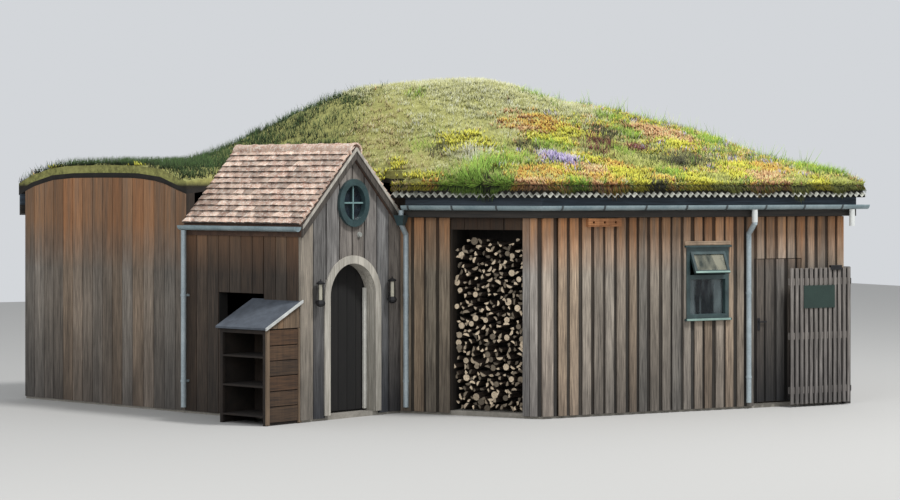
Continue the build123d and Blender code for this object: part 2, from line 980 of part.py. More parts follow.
def roof_outline():
    plan_face(
        eaves_start,
        eaves[2],
        right_eave,
        back_eave,
        party_eave,
        side_back,
        porch_mid + porch_in * porch_depth,
        porch_mid + porch_in * (verge + overhang),
        store_start + porch_in * (verge + overhang),
        store_point(150),
    )


def roof_layer(drop, depth):
    with BuildPart() as layer:
        add(roof_body(drop, depth))
        with BuildSketch():
            roof_outline()
        extrude(amount=headroom, mode=Mode.INTERSECT)
        add(porch_envelope.part, mode=Mode.SUBTRACT)
    return layer.part


save(roof_layer(turf_depth, deck_depth), "roof_deck")
save(roof_layer(0, turf_depth), "turf_roof")


# Eaves: a soffit and a fascia board along each open side
fascia_out = offset_outline(-fascia_face)
fascia_in = offset_outline(fascia_board - fascia_face)


def eaves_run(start, end, fascia_start, fascia_end, inner_start, inner_end):
    """Fascia between two outer points, and the soffit from it back to the wall."""
    with BuildPart() as run:
        with BuildSketch(Plane.XY.offset(fascia_foot)):
            plan_face(fascia_start, fascia_end, inner_end, inner_start)
        extrude(amount=headroom)
        with BuildSketch(Plane.XY.offset(fascia_foot)):
            plan_face(inner_start, inner_end, end, start)
        extrude(amount=fascia_board)
        add(under_roof, mode=Mode.INTERSECT)
    return run.part


fascia_start = store_point(150, -fascia_face)
fascia_start_in = store_point(150, fascia_board - fascia_face)
party_fascia = left_back + porch_in * (fascia_face / porch_in.Y)
party_fascia_in = left_back + porch_in * ((fascia_face - fascia_board) / porch_in.Y)
store_eaves = eaves_run(
    store_point(150), corner, fascia_start, fascia_out[2], fascia_start_in, fascia_in[2]
)
front_eaves = eaves_run(
    corner, right_front, fascia_out[2], fascia_out[3], fascia_in[2], fascia_in[3]
)
right_eaves = eaves_run(
    right_front, right_back, fascia_out[3], fascia_out[4], fascia_in[3], fascia_in[4]
)
back_eaves = eaves_run(
    right_back, left_back, fascia_out[4], party_fascia, fascia_in[4], party_fascia_in
)
save(store_eaves, "store_eaves")
save(front_eaves, "front_eaves")
save(right_eaves, "right_eaves")
save(back_eaves, "back_eaves")


# Half-round gutters on the fascias and on the porch's left eave
gutter_line = fascia_face + gutter_radius + clearance


def gutter_section():
    Circle(gutter_radius)
    Circle(gutter_radius - gutter_wall, mode=Mode.SUBTRACT)
    Rectangle(3 * gutter_radius, gutter_radius, align=(Align.CENTER, Align.MIN), mode=Mode.SUBTRACT)


wing_start = store_point(140, -gutter_line) + Vector(0, 0, gutter_top)
wing_corner = offset_outline(-gutter_line)[2] + Vector(0, 0, gutter_top)
wing_end = right_front + Vector(gutter_end, -gutter_line, gutter_top)

with BuildPart() as wing_gutter:
    with BuildLine():
        Polyline(wing_start, wing_corner, wing_end)
    with BuildSketch(Plane(wing_start, outward(store_dir), store_dir * -1)):
        gutter_section()
    sweep(transition=Transition.RIGHT)
save(wing_gutter.part, "wing_gutter")

porch_gutter_top = porch_eave - 20
porch_gutter_across = porch_eave_reach + gutter_radius + clearance
porch_gutter_start = (
    porch_mid - porch_dir * porch_gutter_across - porch_in * verge + Vector(0, 0, porch_gutter_top)
)

with BuildPart() as porch_gutter:
    with BuildSketch(Plane(porch_gutter_start, porch_dir, porch_in * -1)):
        gutter_section()
    extrude(amount=-(porch_depth + verge))
save(porch_gutter.part, "porch_gutter")


# Rainwater pipes: from under each gutter back to the wall and down, held by clips
def pipe_section():
    RegularPolygon(pipe_radius, pipe_sides)
    RegularPolygon(pipe_radius - pipe_wall, pipe_sides, mode=Mode.SUBTRACT)


def pipe_clips(base, face_dir, stand):
    """Rings round a pipe, with an arm back to the wall face behind it."""
    for height in clip_heights:
        with BuildSketch(Plane(base + Vector(0, 0, height), face_dir, (0, 0, 1))) as clip:
            with Locations((stand, 0)):
                RegularPolygon(pipe_radius + 5, pipe_sides)
                RegularPolygon(pipe_radius - 1, pipe_sides, mode=Mode.SUBTRACT)
            Rectangle(stand - pipe_radius, 30, align=(Align.MIN, Align.CENTER))
        extrude(clip.sketch, amount=30)


def build_swan_pipe(base, face_dir):
    """A pipe that drops from the wing gutter, bends back to the wall and runs down it."""
    out = base + face_dir * gutter_line
    stand = base + face_dir * pipe_stand
    neck = wing_pipe_top - pipe_drop
    with BuildPart() as pipe:
        with BuildLine():
            Polyline(
                out + Vector(0, 0, wing_pipe_top),
                out + Vector(0, 0, neck),
                stand + Vector(0, 0, neck - (gutter_line - pipe_stand)),
                stand + Vector(0, 0, pipe_foot),
            )
        with BuildSketch(Plane(out + Vector(0, 0, wing_pipe_top))):
            pipe_section()
        sweep(transition=Transition.RIGHT)
        pipe_clips(base, face_dir, pipe_stand)
    return pipe.part


wing_pipe_top = gutter_top - gutter_radius - 1
save(build_swan_pipe(corner + front_dir * pipe_front, outward(front_dir)), "front_downpipe")
save(build_swan_pipe(store_point(pipe_store), outward(store_dir)), "store_downpipe")

porch_pipe_stand = porch_gutter_across - half_porch
porch_pipe_base = side_back - porch_in * 60

with BuildPart() as porch_downpipe:
    with BuildSketch(Plane(porch_pipe_base - porch_dir * porch_pipe_stand + Vector(0, 0, pipe_foot))):
        pipe_section()
    extrude(amount=porch_gutter_top - gutter_radius - 1 - pipe_foot)
    pipe_clips(porch_pipe_base, porch_dir * -1, porch_pipe_stand)
save(porch_downpipe.part, "porch_downpipe")


# Side gate: its post, the pintles on the post, the slatted leaf and its straps
gate_hinge = right_front + Vector(30, -150)
gate_dir = Vector(-cos(radians(gate_angle)), -sin(radians(gate_angle)))
gate_top = gate_foot + gate_tall
gate_rails = [gate_foot + rail_inset, (gate_foot + gate_top) / 2, gate_top - rail_inset]
gate_hinge_heights = [gate_rails[0] - knuckle_tall / 2, gate_rails[2] - knuckle_tall / 2]
post_face = 60
stile_gap = 20

with BuildPart() as gate_post_part:
    with BuildSketch():
        with Locations((right_front.X, right_front.Y - post_face)):
            Rectangle(gate_post, gate_post, align=(Align.MIN, Align.MIN))
    extrude(amount=gate_post_tall)
    chamfer(gate_post_part.faces().sort_by(Axis.Z)[-1].edges(), 8)
save(gate_post_part.part, "gate_post")

with BuildPart() as gate_pintles:
    for hinge_height in gate_hinge_heights:
        pintle(gate_hinge, hinge_height, (0, 1, 0), 150 - post_face)
        with BuildSketch(Plane((gate_hinge.X, right_front.Y - post_face, hinge_height), (1, 0, 0), (0, -1, 0))):
            RectangleRounded(50, 120, 8)
        extrude(amount=5)
save(gate_pintles.part, "gate_pintles")

gate_face = Plane(gate_hinge, gate_dir, outward(gate_dir))
batten_count = int((gate_width - batten) // batten_pitch) + 1
batten_step = (gate_width - batten) / (batten_count - 1)

with BuildPart() as side_gate:
    with BuildSketch(gate_face):
        for index in range(batten_count):
            with Locations((stile_gap + index * batten_step, gate_foot)):
                Rectangle(batten, gate_tall, align=(Align.MIN, Align.MIN))
    extrude(amount=-batten_depth)
    with BuildSketch(gate_face):
        for level in gate_rails:
            with Locations((stile_gap, level)):
                Rectangle(gate_width, rail_tall, align=(Align.MIN, Align.CENTER))
    extrude(amount=rail)
save(side_gate.part, "side_gate")

with BuildPart() as gate_straps:
    for hinge_height in gate_hinge_heights:
        with BuildSketch(Plane(gate_hinge + Vector(0, 0, hinge_height + clearance), gate_dir, (0, 0, 1))):
            Circle(knuckle_radius)
            with Locations((0, 0)):
                Rectangle(stile_gap, knuckle_radius, align=(Align.MIN, Align.CENTER))
            Circle(pin_radius + clearance, mode=Mode.SUBTRACT)
        extrude(amount=knuckle_tall)
save(gate_straps.part, "gate_straps")


# Nest box under the eaves, with three entrance holes
with BuildPart() as nest_box:
    with BuildSketch(front):
        with Locations((box_start, box_foot)):
            Rectangle(box_end - box_start, box_head - box_foot, align=(Align.MIN, Align.MIN))
    extrude(amount=box_reach)
    with BuildSketch(front.offset(box_reach)):
        with Locations(((box_start + box_end) / 2, (box_foot + box_head) / 2)):
            with GridLocations((box_end - box_start) / 3, 0, 3, 1):
                Circle(17)
    extrude(amount=-box_reach * 0.7, mode=Mode.SUBTRACT)
save(nest_box.part, "nest_box")
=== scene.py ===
import random
from math import cos, exp, pi, radians, sin, sqrt

import bmesh
import bpy
import numpy as np
from mathutils import Matrix, Vector, noise
from mathutils.bvhtree import BVHTree


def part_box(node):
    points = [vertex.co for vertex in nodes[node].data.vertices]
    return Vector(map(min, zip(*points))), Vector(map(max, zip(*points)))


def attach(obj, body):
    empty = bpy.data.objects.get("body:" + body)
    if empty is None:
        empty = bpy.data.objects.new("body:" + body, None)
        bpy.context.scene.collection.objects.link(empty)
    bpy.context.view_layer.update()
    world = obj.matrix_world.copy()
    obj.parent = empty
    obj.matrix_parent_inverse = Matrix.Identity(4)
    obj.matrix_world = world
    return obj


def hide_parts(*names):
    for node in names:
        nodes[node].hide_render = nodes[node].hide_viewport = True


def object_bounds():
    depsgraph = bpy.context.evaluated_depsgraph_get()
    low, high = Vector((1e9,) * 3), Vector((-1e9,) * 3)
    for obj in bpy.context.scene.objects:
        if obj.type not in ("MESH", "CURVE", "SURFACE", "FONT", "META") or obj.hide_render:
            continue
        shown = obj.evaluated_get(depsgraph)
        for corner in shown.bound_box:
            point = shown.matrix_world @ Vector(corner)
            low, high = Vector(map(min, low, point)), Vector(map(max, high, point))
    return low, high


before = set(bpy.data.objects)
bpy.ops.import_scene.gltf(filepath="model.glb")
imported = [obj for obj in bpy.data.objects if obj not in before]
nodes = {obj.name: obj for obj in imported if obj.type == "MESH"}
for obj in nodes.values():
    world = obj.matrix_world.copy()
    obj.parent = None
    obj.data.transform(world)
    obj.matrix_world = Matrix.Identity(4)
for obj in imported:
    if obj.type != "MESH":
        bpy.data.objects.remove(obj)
cad_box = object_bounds()


# The floor slab. It is a slab of grey concrete cast on the ground, and the whole shed
# stands on it.
def new_material(name):
    """A material and its tree of shader nodes."""
    material = bpy.data.materials.new(name)
    material.use_nodes = True
    return material, material.node_tree


def add_node(tree, kind, inputs, **settings):
    """A shader node with its settings, and its inputs linked or filled in."""
    node = tree.nodes.new("ShaderNode" + kind)
    for key, value in settings.items():
        setattr(node, key, value)
    for socket, value in inputs.items():
        if isinstance(value, bpy.types.NodeSocket):
            tree.links.new(value, node.inputs[socket])
        else:
            node.inputs[socket].default_value = value
    return node


def paint(red, green, blue):
    """A colour written as the eye reads it, 0 to 255, turned into linear light."""
    shares = [part / 255 for part in (red, green, blue)]
    return tuple(s / 12.92 if s < 0.04045 else ((s + 0.055) / 1.055) ** 2.4 for s in shares) + (1,)


def ramp(tree, factor, low, high, dark, pale):
    """A colour ramp from dark to pale between two values of a factor."""
    node = add_node(tree, "ValToRGB", {"Fac": factor})
    node.color_ramp.elements[0].position = low
    node.color_ramp.elements[1].position = high
    node.color_ramp.elements[0].color = dark
    node.color_ramp.elements[1].color = pale
    return node.outputs["Color"]


def mix(tree, factor, first, second, blend="MIX"):
    """Two colours blended by a factor."""
    node = add_node(tree, "Mix", {}, data_type="RGBA", blend_type=blend)
    for index, value in ((0, factor), (6, first), (7, second)):
        if isinstance(value, bpy.types.NodeSocket):
            tree.links.new(value, node.inputs[index])
        else:
            node.inputs[index].default_value = value
    return node.outputs[2]


def texture(tree, scale, stretch=(1, 1, 1), detail=5, roughness=0.6, turn=0):
    """Noise read from object coordinates, stretched along the grain where there is one."""
    place = add_node(tree, "TexCoord", {}).outputs["Object"]
    mapped = add_node(tree, "Mapping", {"Vector": place, "Scale": stretch, "Rotation": (0, 0, turn)})
    inputs = {"Vector": mapped.outputs["Vector"], "Scale": scale, "Detail": detail}
    inputs["Roughness"] = roughness
    return add_node(tree, "TexNoise", inputs).outputs["Fac"]


def finish_surface(tree, color, height, roughness, bump, depth, metallic=0):
    """Links a colour and a bump to the shader and sets its plain values."""
    shader = tree.nodes["Principled BSDF"]
    shader.inputs["Roughness"].default_value = roughness
    shader.inputs["Metallic"].default_value = metallic
    tree.links.new(color, shader.inputs["Base Color"])
    inputs = {"Height": height, "Strength": bump, "Distance": depth}
    relief = add_node(tree, "Bump", inputs)
    tree.links.new(relief.outputs["Normal"], shader.inputs["Normal"])


def mottled(name, dark, pale, scale, roughness, bump=0.3, depth=0.003, metallic=0):
    """A hard surface with uneven colour and a fine grain."""
    material, tree = new_material(name)
    dark, pale = paint(*dark), paint(*pale)
    patches = texture(tree, scale)
    specks = texture(tree, scale * 14, detail=3)
    color = ramp(tree, patches, 0.35, 0.68, dark, pale)
    color = mix(tree, 0.35, color, ramp(tree, specks, 0.35, 0.65, dark, pale))
    finish_surface(tree, color, specks, roughness, bump, depth, metallic)
    return material


def dress(names, material):
    """Gives nodes of the frame their own finish."""
    for name in names.split():
        nodes[name].data.materials.clear()
        nodes[name].data.materials.append(material)


concrete = mottled("cast_concrete", (118, 114, 106), (158, 153, 144), 1.8, 0.9)
dress("floor_slab", concrete)


# The walls of the wing. Rough sawn boards stand upright on the frame in two layers, with
# the outer boards nailed over the gaps of the inner ones, which are darkened as painted shade
# in the gaps. They have weathered grey, are warm brown and darker under the eaves, partly
# unweathered timber and partly painted eave shade, and grow greyer towards the foot,
# partly wet timber and partly painted shade.
corner = Vector((*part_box("front_wall_left")[0][:2], 0))
front_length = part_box("front_wall_right")[1].x - corner.x
wall_thickness = 0.14
wing_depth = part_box("right_end_wall")[1].y + wall_thickness - corner.y
store_turn = radians(54.6)
store_length = 1.99
porch_turn = radians(20)
porch_width = 1.81
porch_depth = 2.06
inner_layer = 0.018
outer_layer = 0.038
# Inner boards take this dark tone as painted shade in the gaps.
gap_shade_tone = 0.17
clad_gap = 0.05
clad_foot = 0.03
clad_head = 2.51


def wall_frame(start, turn):
    """A wall's own axes: x along it, y into the building and z up."""
    return Matrix.Translation(start) @ Matrix.Rotation(turn, 4, "Z")


def along(wall, distance, inward=0, height=0):
    """The place of a point that is given in a wall's own axes."""
    return wall @ Vector((distance, inward, height))


front = wall_frame(corner, 0)
right_end = wall_frame(along(front, front_length), pi / 2)
back = wall_frame(along(right_end, wing_depth), pi)
store = wall_frame(corner, -store_turn) @ Matrix.Translation((-store_length, 0, 0))
porch = wall_frame(along(store, 0), porch_turn) @ Matrix.Translation((-porch_width, 0, 0))
back_left = along(porch, 0, (along(back, 0).y - along(porch, 0).y) / cos(porch_turn))
party = wall_frame(back_left, porch_turn - pi / 2)
party_length = (along(porch, 0, porch_depth) - back_left).length
back_length = (along(back, 0) - back_left).length

turf = nodes["turf_roof"]
turf_points = [turf.matrix_world @ vert.co for vert in turf.data.vertices]
turf_tree = BVHTree.FromPolygons(turf_points, [tuple(face.vertices) for face in turf.data.polygons])
turf_low, turf_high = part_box("turf_roof")
sky_height = 9
steepest_turf = 0.15


def turf_at(x, y):
    """The turf's height over a point of the plan, or None off the roof."""
    hit, normal = turf_tree.ray_cast(Vector((x, y, sky_height)), Vector((0, 0, -1)))[:2]
    return None if hit is None or normal.z < steepest_turf else hit.z


STAIN_DARK = (0.5, 0.49, 0.48, 1)
STAIN_PALE = (1.2, 1.18, 1.16, 1)
WARM_HUE = (1.1, 0.98, 0.84, 1)
COOL_HUE = (0.9, 0.98, 1.04, 1)
WHITE = (1, 1, 1, 1)
# The colour at the foot of the boards: partly wet timber, partly painted shade.
DAMP_AND_SHADE = (0.64, 0.65, 0.68, 1)
UPRIGHT = (1, 1, 0.035)
LEVEL = (0.035, 0.035, 1)


def calculate(tree, operation, *values, clamp=False):
    """A sum, product or other step of arithmetic on the values."""
    inputs = dict(enumerate(values))
    return add_node(tree, "Math", inputs, operation=operation, use_clamp=clamp).outputs["Value"]


def rise(tree, value, low, high):
    """Goes from 0 to 1 while a value goes from low to high."""
    inputs = {"Value": value, "From Min": low, "From Max": high}
    return add_node(tree, "MapRange", inputs).outputs["Result"]


def height_of(tree):
    """The height over the ground."""
    place = add_node(tree, "TexCoord", {}).outputs["Object"]
    return add_node(tree, "SeparateXYZ", {"Vector": place}).outputs["Z"]


def tone_of(tree):
    """The shade that each board, log or tile carries."""
    return add_node(tree, "Attribute", {}, attribute_name="tone").outputs["Fac"]


def weathered(
    name, dark, pale, warm=None, grain=UPRIGHT, turn=0, toned=True, damp_and_shade=DAMP_AND_SHADE, damp_and_shade_top=1.3
):
    """Sawn timber: fine grain along the board, broad stains, warm colour on top that is partly
    unweathered timber and partly painted eave shade, and a greyer foot that is partly wet timber and
    partly painted shade.
    """
    material, tree = new_material(name)
    fibres = texture(tree, 75, grain, detail=8, roughness=0.7, turn=turn)
    stains = texture(tree, 2.6, (1, 1, 0.35), detail=4)
    streaks = texture(tree, 14, (1, 1, 0.06), detail=4)
    color = ramp(tree, fibres, 0.34, 0.66, paint(*dark), paint(*pale))
    color = mix(tree, 0.6, color, ramp(tree, stains, 0.3, 0.7, STAIN_DARK, STAIN_PALE), "MULTIPLY")
    color = mix(tree, 0.5, color, ramp(tree, streaks, 0.35, 0.65, STAIN_DARK, STAIN_PALE), "MULTIPLY")
    height = height_of(tree)
    if warm:
        # Warm and darker under the eaves: partly unweathered timber, partly painted eave shade.
        ragged = calculate(tree, "MULTIPLY", rise(tree, height, 1.8, 2.45), streaks)
        share = calculate(tree, "MULTIPLY", ragged, 1.8, clamp=True)
        color = mix(tree, share, color, mix(tree, 0.85, warm, color, "MULTIPLY"))
    # Greyer towards the foot: partly wet timber, partly painted shade.
    foot_fade = ramp(tree, rise(tree, height, 0.1, damp_and_shade_top), 0.0, 1.0, damp_and_shade, WHITE)
    color = mix(tree, 1.0, color, foot_fade, "MULTIPLY")
    if toned:
        tone = tone_of(tree)
        own = calculate(tree, "FRACT", calculate(tree, "MULTIPLY", tone, 37.0))
        hue = ramp(tree, own, 0.0, 1.0, WARM_HUE, COOL_HUE)
        color = mix(tree, 1.0, mix(tree, 1.0, color, hue, "MULTIPLY"), tone, "MULTIPLY")
    finish_surface(tree, color, fibres, 0.85, 0.5, 0.004)
    return material


def tone_layer(bm):
    """Where faces keep the shade of their board, log or tile. It comes before the faces."""
    return bm.faces.layers.float.get("tone") or bm.faces.layers.float.new("tone")


def add_box(bm, place, low, high, tone=1.0, edge=0):
    """A box between two corners of a place's own axes, with its edges eased where asked."""
    layer = tone_layer(bm)
    low, high = Vector(low), Vector(high)
    middle = Matrix.Translation((low + high) / 2)
    sizes = Matrix.Diagonal((*(high - low), 1))
    made = bmesh.ops.create_cube(bm, size=1, matrix=place @ middle @ sizes)["verts"]
    faces = {face for vert in made for face in vert.link_faces}
    for face in faces:
        face[layer] = tone
    if edge:
        edges = list({line for face in faces for line in face.edges})
        bmesh.ops.bevel(bm, geom=edges, offset=edge, affect="EDGES", segments=1, profile=0.5, material=-1)


def add_prism(bm, place, outline, near, far, tone=1.0, rear_shade_tone=None):
    """An outline in a place's x and z, drawn out from a near depth to a far one, with its rear face
    darkened as painted shade where asked.
    """
    layer = tone_layer(bm)
    front = bm.faces.new([bm.verts.new(place @ Vector((x, near, z))) for x, z in outline])
    made = bmesh.ops.extrude_face_region(bm, geom=[front])["geom"]
    rear = next(part for part in made if isinstance(part, bmesh.types.BMFace))
    depth = place.to_3x3() @ Vector((0, far - near, 0))
    bmesh.ops.translate(bm, verts=rear.verts, vec=depth)
    faces = list({face for vert in (*front.verts, *rear.verts) for face in vert.link_faces})
    for face in faces:
        face[layer] = tone
    if rear_shade_tone is not None:
        rear[layer] = rear_shade_tone
    bmesh.ops.recalc_face_normals(bm, faces=faces)


def add_piece(bm, name, body, materials, smooth=False, replaced=()):
    """Turns a mesh under work into a piece that rides on its body."""
    mesh = bpy.data.meshes.new(name)
    bm.to_mesh(mesh)
    bm.free()
    piece = bpy.data.objects.new(name, mesh)
    bpy.context.scene.collection.objects.link(piece)
    for material in materials:
        mesh.materials.append(material)
    if smooth:
        mesh.shade_smooth()
    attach(piece, body)
    if replaced:
        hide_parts(*replaced)


def seams(start, end, width, spread, chance):
    """Joints between boards of uneven width that fill a run."""
    count = round((end - start) / width)
    widths = [chance.uniform(1 - spread, 1 + spread) for _ in range(count)]
    joints = [start]
    for part in widths:
        joints.append(joints[-1] + part * (end - start) / sum(widths))
    return joints


def clear_parts(left, right, foot, head, holes):
    """What is left of a board beside, under and over the openings, as boxes."""
    thin = 0.012
    cuts = [edge for hole in holes for edge in hole[:2] if left < edge < right]
    edges = sorted({left, right, *cuts})
    for start, end in zip(edges, edges[1:]):
        spans = [(foot, head)]
        for near, far, low, high in holes:
            if near < (start + end) / 2 < far:
                spans = [part for a, b in spans for part in ((a, min(b, low)), (max(a, high), b))]
        for low, high in spans:
            if high - low > thin and end - start > thin:
                yield start, end, low, high


def clad(bm, wall, joints, foot, head, holes, gap, chance, tones=(0.7, 1.2), limits=None):
    """Two layers of upright boards: inner ones darkened as painted shade in the gaps, and outer ones with
    gaps between.
    """
    left, right = limits or (joints[0], joints[-1])
    for start, end in zip(joints, joints[1:]):
        tone = chance.uniform(*tones)
        lift = chance.uniform(-0.003, 0.003)
        nudge = chance.uniform(-0.25, 0.25) * gap
        inner = (max(start - gap, left), min(start + gap, right))
        outer = (max(start + gap / 2 + nudge, left), min(end - gap / 2 + nudge, right))
        if inner[1] > inner[0]:
            for a, b, low, high in clear_parts(*inner, foot, head, holes):
                add_box(bm, wall, (a, -inner_layer, low), (b, 0, high), tone * gap_shade_tone)
        if outer[1] > outer[0]:
            for a, b, low, high in clear_parts(*outer, foot, head, holes):
                face = -outer_layer + lift
                add_box(bm, wall, (a, face, low), (b, -inner_layer, high), tone, edge=0.002)


# The warm stain is partly unweathered timber and partly painted shade under the eaves.
warm_stain_and_eave_shade = (0.92, 0.52, 0.28, 1)
wall_timber = weathered("weathered_boards", (92, 84, 76), (176, 164, 150), warm_stain_and_eave_shade)
pale_timber = weathered("bleached_boards", (112, 108, 106), (190, 186, 182), warm_stain_and_eave_shade)
hidden_timber = weathered("sheltered_boards", (84, 76, 68), (156, 144, 132), warm_stain_and_eave_shade)
chance = random.Random(5)
window_hole = (2.15, 2.81, 1.17, 2.145)
door_hole = (3.212, 3.982, 0, 1.958)
front_joints = seams(0.21, front_length + 0.03, 0.168, 0.08, chance)
bm = bmesh.new()
clad(bm, front, front_joints, clad_foot, clad_head, [window_hole, door_hole], clad_gap, chance)
add_piece(bm, "front_cladding", "shed", [wall_timber])
for name, wall, start, end, timber in (
    ("right_end_cladding", right_end, 0.0, wing_depth, wall_timber),
    ("back_cladding", back, -0.03, back_length, hidden_timber),
):
    bm = bmesh.new()
    joints = seams(start, end, 0.166, 0.08, chance)
    clad(bm, wall, joints, clad_foot, clad_head, [], clad_gap, chance)
    add_piece(bm, name, "shed", [timber])

party_joints = seams(0, party_length, 0.2, 0.05, chance)
roof_thickness = 0.167
plain_gap = 0.005
bm = bmesh.new()
for start, end in zip(party_joints, party_joints[1:]):
    tone = chance.uniform(0.7, 1.15)
    near, far = start + plain_gap, end - plain_gap
    tops = [turf_at(*along(party, spot, 0.04).xy) for spot in (near, far)]
    heads = [(top or clad_head + roof_thickness) - roof_thickness for top in tops]
    outline = [(near, clad_foot), (far, clad_foot), (far, heads[1]), (near, heads[0])]
    add_prism(bm, party, outline, -0.02, 0, tone)
add_piece(bm, "party_wall_boards", "shed", [hidden_timber])

studwork = weathered("studwork", (30, 24, 19), (58, 48, 38), toned=False)
framed_walls = """front_wall_left front_window_bay front_wall_middle front_door_header front_wall_right
    right_end_wall back_wall party_wall store_wall_left store_header store_corner"""
dress(framed_walls, studwork)


# The log store wall and the corner beside it. Brown boards line the left of the store, and
# wide boards bleached almost white turn the corner of the two fronts.
store_joints = seams(0.02, 0.75, 0.18, 0.08, chance)
recess = (0.75, 1.75)
recess_head = 2.36
store_timber = weathered("brown_store_boards", (88, 76, 64), (170, 153, 132), warm_stain_and_eave_shade)
bm = bmesh.new()
clad(bm, store, store_joints, clad_foot, clad_head, [], 0.04, chance, (0.75, 1.1))
shift = Matrix.Translation((recess[0] - store_joints[0], 0, 0))
# The boards over the logs are nearly black: painted shade of the deep recess.
for start, end in zip(store_joints, store_joints[1:]):
    add_box(bm, store @ shift, (start, -0.02, recess_head), (end - 0.006, 0, clad_head), 0.13)
add_box(bm, store, (recess[1] - 0.25, -0.02, recess_head), (recess[1], 0, clad_head), 0.16)
add_piece(bm, "log_store_cladding", "shed", [store_timber])

bm = bmesh.new()
add_box(bm, front, (0.0, -0.042, clad_foot), (0.152, 0, clad_head), 1.0, edge=0.003)
# The strips behind the corner boards are darkened as painted shade.
add_box(bm, front, (0.152, -inner_layer, clad_foot), (0.24, 0, clad_head), gap_shade_tone)
for start, end, tone in ((recess[1], 1.842, 0.8), (1.848, 1.945, 1.12)):
    add_box(bm, store, (start, -0.042, clad_foot), (end, 0, clad_head), tone, edge=0.003)
add_box(bm, store, (1.945, -0.016, clad_foot), (store_length, 0, clad_head), gap_shade_tone)
add_piece(bm, "corner_boards", "shed", [pale_timber])


# The log recess is lined with rough boards, nearly black with shade and dust.
lining_timber = weathered("rough_lining", (15, 12, 9), (36, 28, 21), toned=False)
dress("log_recess", lining_timber)


# The firewood. Split and round logs are stacked with their ends out: pale sawn faces with
# dark bark round them, none in line with the next, and black gaps between.
log_pitch = 0.083
log_reach = 0.3
stack_foot = 0.06
stack_face = 0.1
stack_head = 2.3
stack_fall = 0.13
bark = mottled("log_bark", (34, 26, 20), (78, 62, 48), 22, 0.95, 0.8, 0.006)
log_end, tree = new_material("sawn_log_end")
rings = texture(tree, 95, detail=3)
grain = ramp(tree, rings, 0.3, 0.7, paint(148, 126, 100), paint(226, 210, 184))
finish_surface(tree, mix(tree, 1.0, grain, tone_of(tree), "MULTIPLY"), rings, 0.85, 0.3, 0.002)


def add_cone(bm, place, foot_radius, head_radius, depth, segments=20):
    """A closed round bar along its place's z axis, or a tapered one."""
    bmesh.ops.create_cone(
        bm,
        cap_ends=True,
        segments=segments,
        radius1=foot_radius,
        radius2=head_radius,
        depth=depth,
        matrix=place,
    )


def add_log(bm, place, radius, reach, splits, chance):
    """One log lying along its place's y axis: a cylinder, split through its heart or not."""
    log = bmesh.new()
    layer = tone_layer(log)
    add_cone(log, Matrix.Rotation(-pi / 2, 4, "X"), radius, radius * 0.94, reach, segments=9)
    for vert in log.verts:
        vert.co.x *= 1 + 0.16 * noise.noise(Vector((vert.co.x, vert.co.z, place[0][3])) * 30)
    for split in range(splits):
        everything = log.verts[:] + log.edges[:] + log.faces[:]
        across = Matrix.Rotation(split * chance.uniform(1.2, 1.9), 4, "Y") @ Vector((1, 0, 0.1))
        offset = Vector((-radius * 0.2, 0, -radius * 0.2))
        cut = bmesh.ops.bisect_plane(
            log, geom=everything, plane_co=offset, plane_no=across, clear_outer=True
        )["geom_cut"]
        bmesh.ops.holes_fill(log, edges=[part for part in cut if isinstance(part, bmesh.types.BMEdge)])
    shade = chance.choice((0.22, 0.36, 0.52, 0.7, 0.9, 1.1, 1.25, 1.4))
    for face in log.faces:
        face.material_index = 0 if abs(face.normal.y) > 0.8 else 1
        face[layer] = shade
    bmesh.ops.transform(log, matrix=place, verts=log.verts)
    mesh = bpy.data.meshes.new("log")
    log.to_mesh(mesh)
    log.free()
    bm.from_mesh(mesh)
    bpy.data.meshes.remove(mesh)


bm = bmesh.new()
tone_layer(bm)
level = stack_foot + log_pitch / 2
row = 0
while level < stack_head - log_pitch / 2:
    spot = recess[0] + log_pitch * (0.55 if row % 2 else 0.95)
    while spot < recess[1] - log_pitch * 0.4:
        aside = (spot - (recess[0] + recess[1]) / 2) / ((recess[1] - recess[0]) / 2)
        if level > stack_head - log_pitch / 2 - stack_fall * aside**2:
            spot += log_pitch
            continue
        radius = chance.uniform(0.4, 0.6) * log_pitch
        inward = stack_face + log_reach / 2 + chance.uniform(-0.06, 0.05)
        jitter = chance.uniform(-0.009, 0.009)
        tilt = Matrix.Rotation(chance.uniform(-0.09, 0.09), 4, "Z")
        tilt = tilt @ Matrix.Rotation(chance.uniform(-0.09, 0.09), 4, "X")
        spin = Matrix.Rotation(chance.uniform(0, 2 * pi), 4, "Y")
        place = store @ Matrix.Translation((spot, inward, level + jitter)) @ tilt @ spin
        add_log(bm, place, radius, log_reach, chance.choice((0, 1, 1, 2, 2, 2)), chance)
        spot += log_pitch * chance.uniform(0.86, 1.12)
    level += log_pitch * 0.9
    row += 1
add_piece(bm, "firewood_logs", "shed", [log_end, bark], replaced=["firewood"])


# The window. A softwood frame painted blue-green, with a fixed pane under a top-hung vent
# that stands open, and clear glass coloured with painted shade of the dark room behind and
# painted reflections: pale streaks, and a beige vent pane.
teal_paint = mottled("teal_paint", (32, 46, 48), (62, 82, 82), 5, 0.42, 0.15, 0.001)
dress("window_frame window_vent", teal_paint)
window_left, window_right = window_hole[:2]
vent_foot = 1.78
vent_head = 2.0647
vent_opening = radians(25)
window_glass, tree = new_material("window_glass")
glass_shader = tree.nodes["Principled BSDF"]
for socket, value in (("Roughness", 0.04), ("IOR", 1.5), ("Alpha", 0.62)):
    glass_shader.inputs[socket].default_value = value
